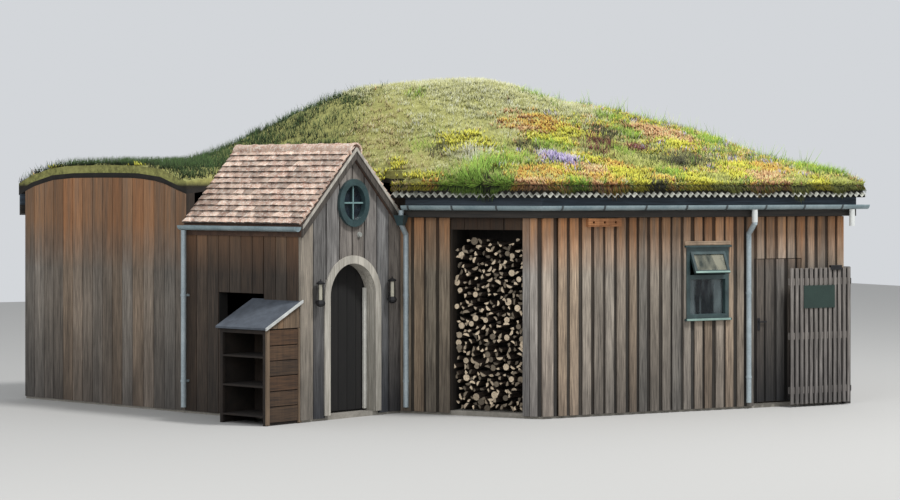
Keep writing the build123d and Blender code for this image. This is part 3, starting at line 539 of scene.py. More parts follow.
# Pale streaks and the beige vent pane are painted reflections; the dark pane is painted shade.
streaks = texture(tree, 6, (1, 1, 0.12), detail=2)
pane = ramp(tree, streaks, 0.46, 0.6, paint(30, 36, 40), paint(108, 120, 122))
vent_reflection = ramp(tree, streaks, 0.35, 0.6, paint(60, 68, 64), paint(152, 150, 132))
is_vent = calculate(tree, "GREATER_THAN", height_of(tree), vent_foot)
tree.links.new(mix(tree, is_vent, pane, vent_reflection), glass_shader.inputs["Base Color"])
dress("window_glass", window_glass)
pale_rail = mottled("pale_rail", (108, 136, 128), (146, 172, 162), 6, 0.5, 0.1, 0.001)
head_trim = weathered("window_head_trim", (118, 98, 80), (178, 156, 132), toned=False, grain=LEVEL)


def add_block(name, body, material, place, low, high, edge=0.002):
    """A piece that is one box."""
    bm = bmesh.new()
    add_box(bm, place, low, high, edge=edge)
    add_piece(bm, name, body, [material])


vent_place = front @ Matrix.Translation(((window_left + window_right) / 2, -0.045, vent_head))
vent_place = vent_place @ Matrix.Rotation(-vent_opening, 4, "X")
low, high = (-0.268, -0.005, -0.3), (0.268, 0, -0.276)
add_block("vent_drip_rail", "shed", pale_rail, vent_place, low, high)
low, high = (window_left - 0.03, -0.056, 2.146), (window_right + 0.02, -0.03, 2.2)
add_block("window_trim", "shed", head_trim, front, low, high, edge=0.003)
low, high = (window_left - 0.012, -0.076, 1.172), (window_right + 0.012, -0.07, 1.198)
add_block("window_sill_nosing", "shed", pale_rail, front, low, high)


# The service door. A boarded leaf flush with the wall, clad like it so that it hardly
# shows, in a plain lining and with a black lever handle on a plate.
black_iron = mottled("black_iron", (22, 22, 24), (44, 44, 46), 9, 0.5, 0.25, 0.001, 0.4)
leaf_span = (3.23, 3.97)
leaf_foot = 0.078
leaf_head = 1.95
# The leaf darkens strongly towards its foot as painted shade.
leaf_foot_shade = (0.1, 0.11, 0.14, 1)
leaf_boards = weathered(
    "door_boards", (68, 62, 58), (138, 128, 118), warm_stain_and_eave_shade, damp_and_shade=leaf_foot_shade, damp_and_shade_top=1.8
)
bm = bmesh.new()
own_chance = random.Random(5)
clad(bm, front, front_joints, leaf_foot, leaf_head, [], clad_gap, own_chance, (0.7, 1.1), leaf_span)
add_piece(bm, "service_door_cladding", "service_leaf", [leaf_boards])
plate_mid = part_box("service_door_handle")[0].x - corner.x + 0.021
low, high = (plate_mid - 0.022, -0.046, 1.02), (plate_mid + 0.022, -outer_layer, 1.18)
add_block("service_door_plate", "service_leaf", black_iron, front, low, high, edge=0.003)
dress("service_door", weathered("door_back", (70, 58, 48), (118, 100, 84), toned=False))
dress("service_door_frame", weathered("door_lining", (34, 29, 25), (62, 54, 46), toned=False))
iron_nodes = """service_door_handle porch_door_handle porch_door_hinges gate_pintles gate_straps
    lantern_left lantern_right"""
dress(iron_nodes, black_iron)


# The nest box. A long box of orange-brown cedar close under the eaves, with three round
# entrances.
cedar = weathered("cedar_box", (132, 84, 50), (206, 146, 98), toned=False, grain=(0.035, 1, 1))
dress("nest_box", cedar)


# The porch front. Wide upright boards butt together with dark open seams, are cut round the
# arched doorway and the oval window, and follow the tiled slopes. The left corner is cream.
porch_mid = porch_width / 2
arch_spring = 1.53
arch_cut = 0.49
oval_height = 2.7
oval_half_width = 0.25
oval_half_height = 0.28
ridge_height = 3.4
eave_height = 2.43
eave_reach = 0.95
roof_pitch = (ridge_height - eave_height) / eave_reach
board_peak = 3.257
board_face = 0.026
board_gap = 0.011


def divide(start, end, parts):
    """Evenly spaced points from start to end."""
    return [start + (end - start) * step / parts for step in range(parts + 1)]


def gable_head(across):
    """Where the boards end under the tiles."""
    return board_peak - roof_pitch * abs(across)


def arch_head(across, radius):
    """The round head of the doorway or of the leaf in it."""
    return arch_spring + sqrt(max(radius**2 - across**2, 0))


def oval_edge(across):
    """Half the height of the oval at a distance from its middle."""
    return oval_half_height * sqrt(max(1 - (across / oval_half_width) ** 2, 0))


def gable_parts(left, right, foot):
    """The outlines of one porch board, measured from the middle of the front."""
    turns = [-arch_cut, -oval_half_width, 0, oval_half_width, arch_cut]
    marks = [left, *[turn for turn in turns if left < turn < right], right]
    for start, end in zip(marks, marks[1:]):
        middle = (start + end) / 2
        steps = divide(start, end, 8)
        tops = [(x, gable_head(x)) for x in reversed(steps)]
        inside = abs(middle) < arch_cut
        bottoms = [(x, arch_head(x, arch_cut) if inside else foot) for x in steps]
        if abs(middle) < oval_half_width:
            yield bottoms + [(x, oval_height - oval_edge(x)) for x in reversed(steps)]
            yield [(x, oval_height + oval_edge(x)) for x in steps] + tops
        else:
            yield bottoms + tops


# The porch boards darken towards the foot as painted shade.
porch_foot_shade = (0.22, 0.24, 0.29, 1)
porch_timber = weathered("porch_boards", (66, 63, 62), (152, 149, 147), damp_and_shade=porch_foot_shade, damp_and_shade_top=1.9)
cream_timber = weathered("cream_corner_board", (96, 95, 93), (162, 161, 157))
middle_line = porch @ Matrix.Translation((porch_mid, 0, 0))
porch_joints = seams(-porch_mid + 0.2, porch_mid, 0.226, 0.05, chance)
bm = bmesh.new()
for start, end in zip(porch_joints, porch_joints[1:]):
    tone = chance.uniform(0.62, 1.22)
    for outline in gable_parts(start + board_gap, end - board_gap, clad_foot):
        add_prism(bm, middle_line, outline, -board_face, 0, tone)
add_piece(bm, "porch_front_boards", "shed", [porch_timber])
bm = bmesh.new()
for outline in gable_parts(-porch_mid - 0.022, -porch_mid + 0.192, clad_foot):
    add_prism(bm, middle_line, outline, -0.034, 0, 1.0)
add_piece(bm, "porch_corner_board", "shed", [cream_timber])
# The sheathing behind the open seams is nearly black: painted shade in the seams.
porch_seam_shade = weathered("porch_sheathing_shade", (14, 13, 12), (30, 28, 25), toned=False)
dress("porch_front_left porch_front_right porch_gable_wall porch_left_wall", porch_seam_shade)


# The porch side and its inner frame. Upright boards run brown above the hutch and dark grey
# below it, with an open hatch through them.
side = wall_frame(along(porch, 0, porch_depth), porch_turn - pi / 2)
side_head = 2.3
hatch_hole = (porch_depth - 1.44, porch_depth - 0.63, 1.1, 1.57)
side_timber = weathered("porch_side_boards", (34, 28, 23), (86, 73, 62), warm_stain_and_eave_shade)
side_joints = seams(0.0, porch_depth - 0.002, 0.2, 0.06, chance)
bm = bmesh.new()
for start, end in zip(side_joints, side_joints[1:]):
    tone = chance.uniform(0.7, 1.3)
    near, far = start + plain_gap, end - plain_gap
    for left, right, low, high in clear_parts(near, far, clad_foot, side_head, [hatch_hole]):
        add_box(bm, side, (left, -0.02, low), (right, 0, high), tone)
add_piece(bm, "porch_side_boards", "shed", [side_timber])
# The inner frame takes the nearly black lining: painted shade and dust.
dress("porch_inner_frame", lining_timber)


# The arched door frame of pale planed oak, and its leaf of nearly black upright boards.
PLANED = (0.8, 0.8, 0.8, 1)
oak = weathered("planed_oak", (140, 136, 126), (204, 200, 190), toned=False, damp_and_shade=PLANED)
dress("porch_door_frame", oak)
leaf_timber = weathered("black_boards", (7, 6, 6), (24, 22, 21))
dress("porch_door", leaf_timber)
leaf_radius = 0.4
leaf_joints = seams(-leaf_radius, leaf_radius, 0.16, 0.02, chance)
bm = bmesh.new()
for start, end in zip(leaf_joints, leaf_joints[1:]):
    steps = divide(start + 0.003, end - 0.003, 6)
    outline = [(x, 0.085) for x in (steps[0], steps[-1])]
    outline += [(x, arch_head(x, leaf_radius)) for x in reversed(steps)]
    add_prism(bm, middle_line, outline, 0.148, 0.156, chance.uniform(0.7, 1.3))
add_piece(bm, "porch_door_boards", "porch_leaf", [leaf_timber])


# The oval gable window: a deep rim and cross bars painted dark blue-green.
rim_paint = mottled("rim_paint", (30, 44, 47), (60, 82, 84), 4, 0.4, 0.15, 0.001)
dress("porch_window_frame", rim_paint)
# The glass is coloured nearly black: painted shade of the room behind.
gable_glass_shade = mottled("gable_glass_painted_shade", (12, 16, 20), (42, 50, 58), 5, 0.06, 0.02, 0.001)
dress("porch_window_glass", gable_glass_shade)
bead_paint = mottled("bead_paint", (92, 120, 120), (120, 148, 148), 5, 0.4, 0.1, 0.001)
bm = bmesh.new()
for left, right, half_height in ((-0.01, 0.01, 0.21), (-0.18, -0.0105, 0.01), (0.0105, 0.18, 0.01)):
    low, high = (left, -0.041, oval_height - half_height), (right, -0.0345, oval_height + half_height)
    add_box(bm, middle_line, low, high, edge=0.002)
add_piece(bm, "oval_glazing_beads", "shed", [bead_paint])


# The wall lanterns. Black iron holders carry tubes of pale frosted glass.
glass_radius = 0.034
glass_length = 0.19
lantern_level = 1.6
frosted = mottled("frosted_glass", (146, 142, 126), (186, 182, 166), 6, 0.3, 0.1, 0.001)
bm = bmesh.new()
for across in (-0.65, 0.65):
    middle = Matrix.Translation(along(middle_line, across, -0.105, lantern_level))
    add_cone(bm, middle, glass_radius, glass_radius, glass_length)
add_piece(bm, "lantern_glasses", "shed", [frosted])


# A small round lamp sits under the oval window, and a pale bead closes the gap beside the
# leaf inside the doorway.
lamp = Matrix.Translation(along(middle_line, 0.12, -0.04, 2.3)) @ Matrix.Rotation(porch_turn, 4, "Z")
lamp_cover = mottled("lamp_cover", (128, 130, 126), (166, 168, 162), 6, 0.4, 0.1, 0.001)
bm = bmesh.new()
add_cone(bm, lamp @ Matrix.Rotation(pi / 2, 4, "X"), foot_radius=0.036, head_radius=0.028, depth=0.03)
add_piece(bm, "gable_lamp", "shed", [lamp_cover])
white_bead = mottled("white_bead", (190, 188, 180), (220, 218, 210), 6, 0.6)
low, high = (0.352, 0.105, 0.085), (0.4, 0.14, 1.62)
add_block("doorway_bead", "shed", white_bead, middle_line, low, high, edge=0.003)


# The hutch. Brown boards lie level between pale posts on its front, short pale ones fill the
# slope above them, and slate-grey felt covers its roof, with a white verge.
hutch_reach = 0.59
hutch_rise = (1.485 - 1.185) / hutch_reach
hutch_timber = weathered("hutch_boards", (48, 35, 25), (98, 74, 52), grain=LEVEL, turn=-porch_turn)
hutch_joints = seams(0.04, 1.17, 0.19, 0.03, chance)
bm = bmesh.new()
for foot, head in zip(hutch_joints, hutch_joints[1:]):
    low, high = (-hutch_reach + 0.05, -0.016, foot), (-0.045, 0, head - 0.012)
    add_box(bm, porch, low, high, chance.uniform(0.7, 1.3))
add_piece(bm, "hutch_level_boards", "shed", [hutch_timber])
bm = bmesh.new()
for start in (-hutch_reach, -0.048):
    add_box(bm, porch, (start, -0.026, 0.01), (start + 0.048, 0, 1.17), 1.1)
slope_marks = divide(-hutch_reach, 0, 6)
for start, end in zip(slope_marks, slope_marks[1:]):
    end -= 0.004
    heads = [(x, 1.178 + hutch_rise * (x + hutch_reach)) for x in (end, start)]
    add_prism(bm, porch, [(start, 1.175), (end, 1.175), *heads], -0.016, 0, chance.uniform(0.65, 0.9))
post_timber = weathered("hutch_posts", (92, 76, 60), (142, 120, 98), damp_and_shade=PLANED)
add_piece(bm, "hutch_posts_and_gable", "shed", [post_timber])
# The case is nearly black: painted shade inside the hutch and its open hatch.
dress("hutch_case", mottled("hutch_case", (16, 12, 9), (42, 32, 24), 6, 0.9, 0.4))
dress("hutch_roof", mottled("slate_felt", (58, 63, 71), (84, 91, 100), 9, 0.85, 0.4, 0.002))
white_verge = mottled("white_verge", (160, 162, 160), (205, 206, 202), 8, 0.6)
bm = bmesh.new()
verge_heads = [(x, 1.512 + hutch_rise * x) for x in (-hutch_reach - 0.04, 0)]
outline = [(x, z - 0.034) for x, z in verge_heads] + verge_heads[::-1]
add_prism(bm, porch, outline, -0.062, -0.042)
add_piece(bm, "hutch_verge", "shed", [white_verge])


# The porch roof. Small cambered clay tiles hang in courses, each lapping the one below, with
# half-round ridge tiles bedded on top. They are pinkish and pale with lichen.
tile_gauge = 0.1
tile_length = 0.14
tile_width = 0.164
tile_depth = 0.021
tile_camber = 0.006
tile_gap = 0.002
tile_tilt = 0.16
front_lap = 0.07
tiled_length = porch_depth + front_lap
tile_material, tree = new_material("clay_tiles")
patches = texture(tree, 7, detail=6)
lichen = texture(tree, 38, detail=6, roughness=0.7)
color = ramp(tree, patches, 0.3, 0.7, paint(146, 108, 92), paint(214, 188, 168))
color = mix(tree, rise(tree, lichen, 0.5, 0.62), color, paint(216, 208, 196))
finish_surface(tree, mix(tree, 1.0, color, tone_of(tree), "MULTIPLY"), lichen, 0.9, 0.5, 0.004)
battens = mottled("tile_battens", (52, 38, 30), (92, 68, 54), 12, 0.95)
dress("porch_roof_left porch_roof_right", battens)
bm = bmesh.new()
slope = Vector((1, 0, -roof_pitch)).normalized()
for way, reach in ((-1, eave_reach), (1, 0.905)):
    down = Vector((way * slope.x, 0, slope.z))
    normal = Vector((way * -slope.z, 0, slope.x))
    ridge_way = Vector((0, -way, 0))
    start = Vector((0, -front_lap if way < 0 else porch_depth, ridge_height))
    lie = Matrix((ridge_way, down, normal)).transposed().to_4x4()
    slope_place = middle_line @ Matrix.Translation(start) @ lie
    courses = int(reach / slope.x / tile_gauge)
    for course in range(courses + 1):
        edge = reach / slope.x - course * tile_gauge + 0.012
        top = max(edge - tile_length, 0.0)
        spot = -0.5 * tile_width if course % 2 else 0
        while spot < tiled_length - 0.01:
            left = max(spot + tile_gap, 0)
            right = min(spot + tile_width - tile_gap, tiled_length)
            spot += tile_width
            if right - left < 0.02:
                continue
            crown = [tile_depth + tile_camber * sin(pi * step / 4) for step in range(5)]
            outline = [(left, 0), (right, 0), *reversed(list(zip(divide(left, right, 4), crown)))]
            skew = Matrix.Rotation(tile_tilt + chance.uniform(-0.02, 0.04), 4, "X")
            place = slope_place @ Matrix.Translation((0, top, 0.002)) @ skew
            tone = chance.uniform(0.6, 1.25) + (0.15 if edge < 0.2 else 0)
            # The tail of each tile is darkened as painted shade under the course.
            add_prism(bm, place, outline, 0, edge - top, tone, rear_shade_tone=0.16)
add_piece(bm, "porch_tiles", "shed", [tile_material])

ridge_length = 0.3
ridge_bed = 3.35


def ridge_arc(radius):
    """A little more than half a circle round the bed of the ridge."""
    angles = divide(radians(-25), radians(205), 14)
    return [(radius * cos(angle), ridge_bed + radius * sin(angle)) for angle in angles]


bm = bmesh.new()
spot = -0.095
while spot < porch_depth - 0.01:
    end = min(spot + ridge_length, porch_depth)
    for start, stop, radius in ((spot, spot + 0.04, 0.108), (spot + 0.04, end - 0.003, 0.1)):
        outline = ridge_arc(radius) + ridge_arc(radius - 0.02)[::-1]
        add_prism(bm, middle_line, outline, start, stop, chance.uniform(0.9, 1.15))
    spot = end
add_piece(bm, "porch_ridge_tiles", "shed", [tile_material], replaced=["porch_ridge"])

dress("bargeboards", weathered("bargeboard_timber", (40, 36, 32), (92, 86, 80), toned=False))
verge_timber = weathered("pale_verge", (136, 132, 124), (196, 192, 182), toned=False)
capping_depth = 0.045
bm = bmesh.new()
for foot in (-0.95, 0.9):
    slope_line = [(foot, ridge_height - roof_pitch * abs(foot)), (0, ridge_height)]
    outline = slope_line + [(x, z - capping_depth) for x, z in reversed(slope_line)]
    add_prism(bm, middle_line, outline, -0.107, -0.095)
add_piece(bm, "gable_capping", "shed", [verge_timber])


# The eaves. Boards close them, dark below as painted shade under the eaves and blue-grey
# above, and over the boards a corrugated sheet carries the edge of the turf and shows as a
# row of pale waves. The deck behind and the foam closures under the waves are nearly black,
# painted shade in the hollows.
fascia_foot = 2.655
eaves_timber, tree = new_material("eaves_boards")
fibres = texture(tree, 40, (0.05, 0.05, 1), detail=6)
# Dark below the fascia foot as painted shade under the eaves.
soffit_shade = ramp(tree, fibres, 0.3, 0.7, paint(24, 22, 20), paint(52, 46, 40))
upper = ramp(tree, fibres, 0.3, 0.7, paint(34, 42, 50), paint(68, 80, 92))
painted = calculate(tree, "GREATER_THAN", height_of(tree), fascia_foot)
finish_surface(tree, mix(tree, painted, soffit_shade, upper), fibres, 0.7, 0.3, 0.002)
dress("store_eaves front_eaves right_eaves back_eaves", eaves_timber)
# The deck is nearly black as painted shade behind the waves.
dress("roof_deck", mottled("deck_boards_shade", (18, 17, 15), (40, 36, 31), 5, 0.9))
roof_reach = 0.2
back_reach = 0.15
edge_top = 2.93
store_mitre = roof_reach * sin(store_turn / 2) / cos(store_turn / 2)
edge_runs = [
    (store, -0.02, store_length + store_mitre, roof_reach),
    (front, -store_mitre, front_length + roof_reach, roof_reach),
    (right_end, -roof_reach, wing_depth + back_reach, roof_reach),
    (back, -roof_reach, back_length, back_reach),
]
sheet_pitch = 0.095
wave_height = 0.02
sheet_steel = mottled("corrugated_steel", (80, 82, 74), (212, 212, 200), 5, 0.6, 0.2, 0.001)
# Closure foam, nearly black as painted shade in the hollows under the waves.
foam_and_hollow_shade = mottled("foam_and_hollow_shade", (12, 13, 12), (26, 27, 25), 8, 0.95)


def edge_lift(wall, spot, reach):
    """How far the roof arches over its usual edge, on the sides that show the arch."""
    height = turf_at(*along(wall, spot, 0.006 - reach).xy)
    return max(height - edge_top, 0) if height and wall not in (store, front) else 0


def add_wavy_strip(bm, wall, start, end, reach, section):
    """A strip along a wall's eaves. A point of its section rides on the waves or lies level."""
    steps = round((end - start) / sheet_pitch * 8)
    spots = divide(start, end, steps)
    lifts = [edge_lift(wall, spot, reach) for spot in spots]
    rows = []
    for inward, level, share in section:
        row = []
        for spot, lift in zip(spots, lifts):
            height = level + lift + share * wave_height * sin(2 * pi * spot / sheet_pitch)
            row.append(bm.verts.new(along(wall, spot, inward - reach, height)))
        rows.append(row)
    for first, second in zip(rows, rows[1:] + rows[:1]):
        for step in range(steps):
            bm.faces.new((first[step], first[step + 1], second[step + 1], second[step]))
    for step in (0, steps):
        bm.faces.new([row[step] for row in rows])


sheet_section = ((0.04, 2.844, 1), (-0.052, 2.792, 1), (-0.052, 2.785, 1), (0.04, 2.836, 1))
closure_section = ((-0.034, 2.762, 0), (-0.034, 2.793, 1), (0.004, 2.814, 1), (0.004, 2.762, 0))
for name, section, material in (
    ("corrugated_edge", sheet_section, sheet_steel),
    ("edge_closures", closure_section, foam_and_hollow_shade),
):
    bm = bmesh.new()
    for run in edge_runs:
        add_wavy_strip(bm, *run, section)
    bmesh.ops.recalc_face_normals(bm, faces=bm.faces)
    add_piece(bm, name, "shed", [material])


# Gutters and rainwater pipes of grey-green coated metal, hung from brackets. One pipe drops
# from a dark hopper beside the porch, and another is joined by a white swan neck.
gutter_paint = mottled("gutter_coating", (112, 132, 138), (158, 174, 178), 3, 0.35, 0.1, 0.001, 0.2)
# The pipes take a paler copy of the gutters' coating: painted light.
pipe_paint_lit = mottled("pipe_coating", (136, 150, 156), (178, 190, 194), 3, 0.35, 0.1, 0.001, 0.2)
dress("wing_gutter porch_gutter", gutter_paint)
dress("front_downpipe store_downpipe porch_downpipe", pipe_paint_lit)
gutter_line = 0.1953
gutter_rim = 2.664
bracket_pitch = 0.62
bracket_width = 0.025
strap_inner = 0.061
strap_outer = 0.066
bracket_iron = mottled("bracket_iron", (50, 56, 58), (80, 88, 90), 8, 0.5)
bm = bmesh.new()
for wall, start, end, _ in edge_runs[:2]:
    spot = start + 0.25
    while spot < end - 0.1:
        sides = (spot, spot + bracket_width)
        for step in range(8):
            near, far = pi * step / 8, pi * (step + 1) / 8
            link = [(strap_inner, near), (strap_outer, near), (strap_outer, far), (strap_inner, far)]
            corners = []
            for radius, angle in link:
                reach = gutter_line + radius * cos(angle)
                height = gutter_rim - radius * sin(angle)
                corners.append([bm.verts.new(along(wall, side, -reach, height)) for side in sides])
            for first, second in zip(corners, corners[1:] + corners[:1]):
                bm.faces.new((first[0], second[0], second[1], first[1]))
        spot += bracket_pitch
bmesh.ops.recalc_face_normals(bm, faces=bm.faces)
add_piece(bm, "gutter_brackets", "shed", [bracket_iron])

outlet_head = 2.607
outlet_radius = 0.038
white_sleeve = mottled("white_sleeve", (196, 198, 196), (222, 224, 220), 5, 0.4, 0.1, 0.001)
bm = bmesh.new()
for distance, foot in ((3.115, 2.44), (front_length + 0.02, 2.38)):
    middle = Matrix.Translation(along(front, distance, -gutter_line, (foot + outlet_head) / 2))
    add_cone(bm, middle, outlet_radius, outlet_radius, outlet_head - foot)
add_piece(bm, "white_outlets", "shed", [white_sleeve])
hopper_paint = mottled("hopper_paint", (30, 50, 54), (50, 74, 78), 5, 0.4, 0.1, 0.001)
hopper = store @ Matrix.Translation((0.12, -gutter_line, 2.475)) @ Matrix.Rotation(pi / 4, 4, "Z")
bm = bmesh.new()
add_cone(bm, hopper, foot_radius=0.055, head_radius=0.105, depth=0.13, segments=4)
add_piece(bm, "pipe_hopper", "shed", [hopper_paint])


# The turf. A skin of mossy soil lies over the boarded deck, thick with grass, stonecrop in
# flower and seed heads. The plants grow in patches and hang over the gutters as a fringe.
soil, tree = new_material("mossy_soil")
clods = texture(tree, 16, detail=8, roughness=0.7)
patches = texture(tree, 1.6, detail=4)
color = ramp(tree, clods, 0.3, 0.7, paint(80, 80, 42), paint(168, 168, 98))
color = mix(tree, rise(tree, patches, 0.4, 0.6), color, mix(tree, 0.5, color, paint(168, 166, 100)))
# Dark below the turf's edge as painted shade under the plants.
above_edge_shade = rise(tree, height_of(tree), 2.91, 2.97)
color = mix(tree, above_edge_shade, paint(30, 27, 16), color)
finish_surface(tree, color, clods, 0.95, 0.9, 0.02)
dress("turf_roof", soil)
skin_step = 0.07
skin_least = 0.004
skin_sink = 0.005


def hummocks(x, y):
    """How far the skin stands over the turf, in broad swells and small lumps."""
    swells = noise.noise(Vector((x * 2.2, y * 2.2, 0.4)))
    lumps = noise.noise(Vector((x * 7, y * 7, 3)))
    return max(0.02 + 0.035 * swells + 0.02 * lumps, skin_least)


bm = bmesh.new()
grid = {}
for row in range(int((turf_high.x - turf_low.x) / skin_step) + 1):
    for column in range(int((turf_high.y - turf_low.y) / skin_step) + 1):
        x = turf_low.x + row * skin_step
        y = turf_low.y + column * skin_step
        height = turf_at(x, y)
        if height is not None:
            grid[row, column] = bm.verts.new((x, y, height + hummocks(x, y)))
for row, column in grid:
    corners = [(row, column), (row + 1, column), (row + 1, column + 1), (row, column + 1)]
    if all(spot in grid for spot in corners):
        bm.faces.new([grid[spot] for spot in corners])
bmesh.ops.delete(bm, geom=[vert for vert in bm.verts if not vert.link_faces], context="VERTS")
for vert in bm.verts:
    if vert.is_boundary:
        vert.co.z = turf_at(*vert.co.xy) - skin_sink
add_piece(bm, "turf_skin", "shed", [soil], smooth=True)

kinds = {
    "straw": ((240, 238, 172), (128, 130, 76), 0.04, 0.09),
    "rosy_straw": ((232, 212, 154), (142, 118, 78), 0.04, 0.09),
    "plume": ((240, 236, 200), (150, 150, 96), 0.1, 0.2),
    "meadow": ((208, 214, 112), (86, 94, 42), 0.04, 0.11),
    "green": ((164, 202, 74), (50, 74, 22), 0.06, 0.15),
    "tall_green": ((172, 216, 90), (34, 56, 20), 0.14, 0.32),
    "dark_tuft": ((92, 92, 66), (22, 24, 16), 0.06, 0.14),
    "pink_stonecrop": ((240, 190, 136), (150, 92, 60), 0.03, 0.07),
    "orange_stonecrop": ((246, 198, 96), (168, 98, 44), 0.03, 0.07),
    "yellow_stonecrop": ((250, 238, 84), (128, 124, 34), 0.03, 0.08),
    "lilac_heads": ((196, 182, 226), (98, 90, 122), 0.05, 0.1),
    "red_leaves": ((132, 78, 68), (42, 24, 22), 0.05, 0.13),
    "shade_grass": ((66, 92, 44), (22, 32, 16), 0.05, 0.14),
}
spots = {
    "straw": """0.3,-0.4,.7 -.46,-.59,.58 .11,-1.02,.5 1.31,-.39,.4 2.17,-.22,.3 -.77,-1.76,.25
        1.0,.4,.9 -.2,.5,.8""",
    "rosy_straw": "-1.12,-.73,.4 -1.05,-1.39,.26 -.9,-.2,.4",
    "plume": "-.52,-1.85,.16",
    "green": """1.4,-.11,.22 1.5,-.41,.15 -.39,-.2,.15 -.81,-1.12,.17 .71,-1.79,.2 .06,-2.19,.17
        -.99,-2.05,.2 .36,-3.1,.16 2.35,-.48,.16 2.32,-1.12,.17 3.74,-.82,.23 1.75,-1.96,.2
        1.97,-2.78,.16 4.5,-2.4,.25""",
    "tall_green": "-.6,-2.46,.22 -.45,-2.7,.12 -.72,-2.25,.14",
    "dark_tuft": """-.79,-1.39,.12 .32,-1.79,.15 -.58,-2.5,.1 1.89,-1.21,.17 2.62,-2.06,.22
        1.43,-3.1,.15 2.3,-2.3,.15""",
    "pink_stonecrop": """.62,-1.0,.18 .63,-1.33,.15 -.27,-3.0,.15 2.78,-.95,.24 3.19,-.95,.2
        .87,-2.52,.17 .5,-2.97,.15 3.16,-2.87,.18 3.5,-2.86,.18 .3,-1.2,.14""",
    "orange_stonecrop": """.85,-1.16,.22 .45,-1.15,.16 -1.1,-1.9,.14 -.23,-2.79,.2 .13,-2.71,.22
        .87,-2.89,.17 1.38,-2.33,.16 3.73,-2.41,.18 1.1,-1.05,.14 1.7,-2.9,.13""",
    "yellow_stonecrop": """-.48,-1.34,.18 -.16,-1.46,.2 .69,-1.49,.14 1.21,-1.39,.17 .95,-1.55,.12
        -1.28,-1.24,.2 -1.19,-1.78,.18 .3,-2.89,.14 2.9,-1.33,.16 1.28,-2.7,.2 1.3,-3.0,.16
        2.17,-2.97,.2 2.97,-2.77,.17 4.04,-3.1,.18 3.3,-2.3,.14 1.0,-2.2,.12""",
    "lilac_heads": ".56,-2.2,.16 .68,-2.18,.1",
    "red_leaves": "1.38,-1.59,.18 1.42,-1.85,.16 1.62,-1.62,.14 2.1,-1.7,.12",
    "meadow": "0.0,-1.62,.2 2.53,-2.96,.2 3.77,-3.0,.23 4.41,-3.1,.2 1.8,-2.2,.4",
    "shade_grass": "-3.2,.67,1.7 -2.6,2.47,1.7 -1.65,.5,.7 1.99,-2.1,.2",
}
patches = []
for kind, places in spots.items():
    patches += [(kind, *(float(part) for part in place.split(","))) for place in places.split()]


def plant_kind(x, y, chance):
    """The kind of plant that wins at a point: the nearest patch, with ragged and mixed edges."""
    best, name = 0.34, "straw" if y > -1.4 and x < 1.9 else "meadow"
    for index, (kind, px, py, radius) in enumerate(patches):
        ragged = 0.3 * noise.noise(Vector((x * 7, y * 7, index * 5.3))) + chance.normal(0, 0.15)
        strength = exp(-((x - px) ** 2 + (y - py) ** 2) / (1.5 * radius) ** 2) + ragged
        if strength > best:
            best, name = strength, kind
    return name


plant_material, tree = new_material("plants")
tint = add_node(tree, "Attribute", {}, attribute_name="tint").outputs["Color"]
blotch = texture(tree, 30, detail=3)
shaded = ramp(tree, blotch, 0.3, 0.7, (0.2, 0.2, 0.2, 1), WHITE)
finish_surface(tree, mix(tree, 0.4, tint, shaded, "MULTIPLY"), blotch, 0.9, 0.2, 0.002)


def add_spikes(name, spikes):
    """Plants as closed slender spikes in one mesh: three points round each root, and a tip."""
    roots, tips, widths, root_tints, tip_tints = (np.array(part) for part in zip(*spikes))
    count = len(roots)
    growth = tips - roots
    growth /= np.linalg.norm(growth, axis=1)[:, None]
    side = np.cross(growth, np.array((0.31, 0.17, 0.93)))
    side /= np.linalg.norm(side, axis=1)[:, None]
    other = np.cross(growth, side)
    points = np.zeros((count, 4, 3))
    for index in range(3):
        angle = 2 * pi * index / 3
        points[:, index] = roots + (side * cos(angle) + other * sin(angle)) * widths[:, None]
    points[:, 3] = tips
    corners = np.array((0, 1, 3, 1, 2, 3, 2, 0, 3, 0, 2, 1))
    loops = (np.arange(count)[:, None] * 4 + corners).ravel()
    mesh = bpy.data.meshes.new(name)
    mesh.vertices.add(count * 4)
    mesh.vertices.foreach_set("co", points.ravel())
    mesh.loops.add(count * 12)
    mesh.loops.foreach_set("vertex_index", loops)
    mesh.polygons.add(count * 4)
    mesh.polygons.foreach_set("loop_start", np.arange(count * 4) * 3)
    mesh.update(calc_edges=True)
    tints = np.ones((count, 4, 4))
    tints[:, :3, :3] = root_tints[:, None, :]
    tints[:, 3, :3] = tip_tints
    layer = mesh.attributes.new("tint", "FLOAT_COLOR", "POINT")
    layer.data.foreach_set("color", tints.ravel())
    mesh.materials.append(plant_material)
    plants = bpy.data.objects.new(name, mesh)
    bpy.context.scene.collection.objects.link(plants)
    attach(plants, "shed")


def spike_tints(kind, lights, root_shade_share):
    """The colours of a spike's root, darkened by a share as painted shade, and of its tip."""
    pale, dark = kinds[kind][:2]
    root_tint = [part * lights * root_shade_share for part in paint(*dark)[:3]]
    return root_tint, [min(part * lights, 1) for part in paint(*pale)[:3]]


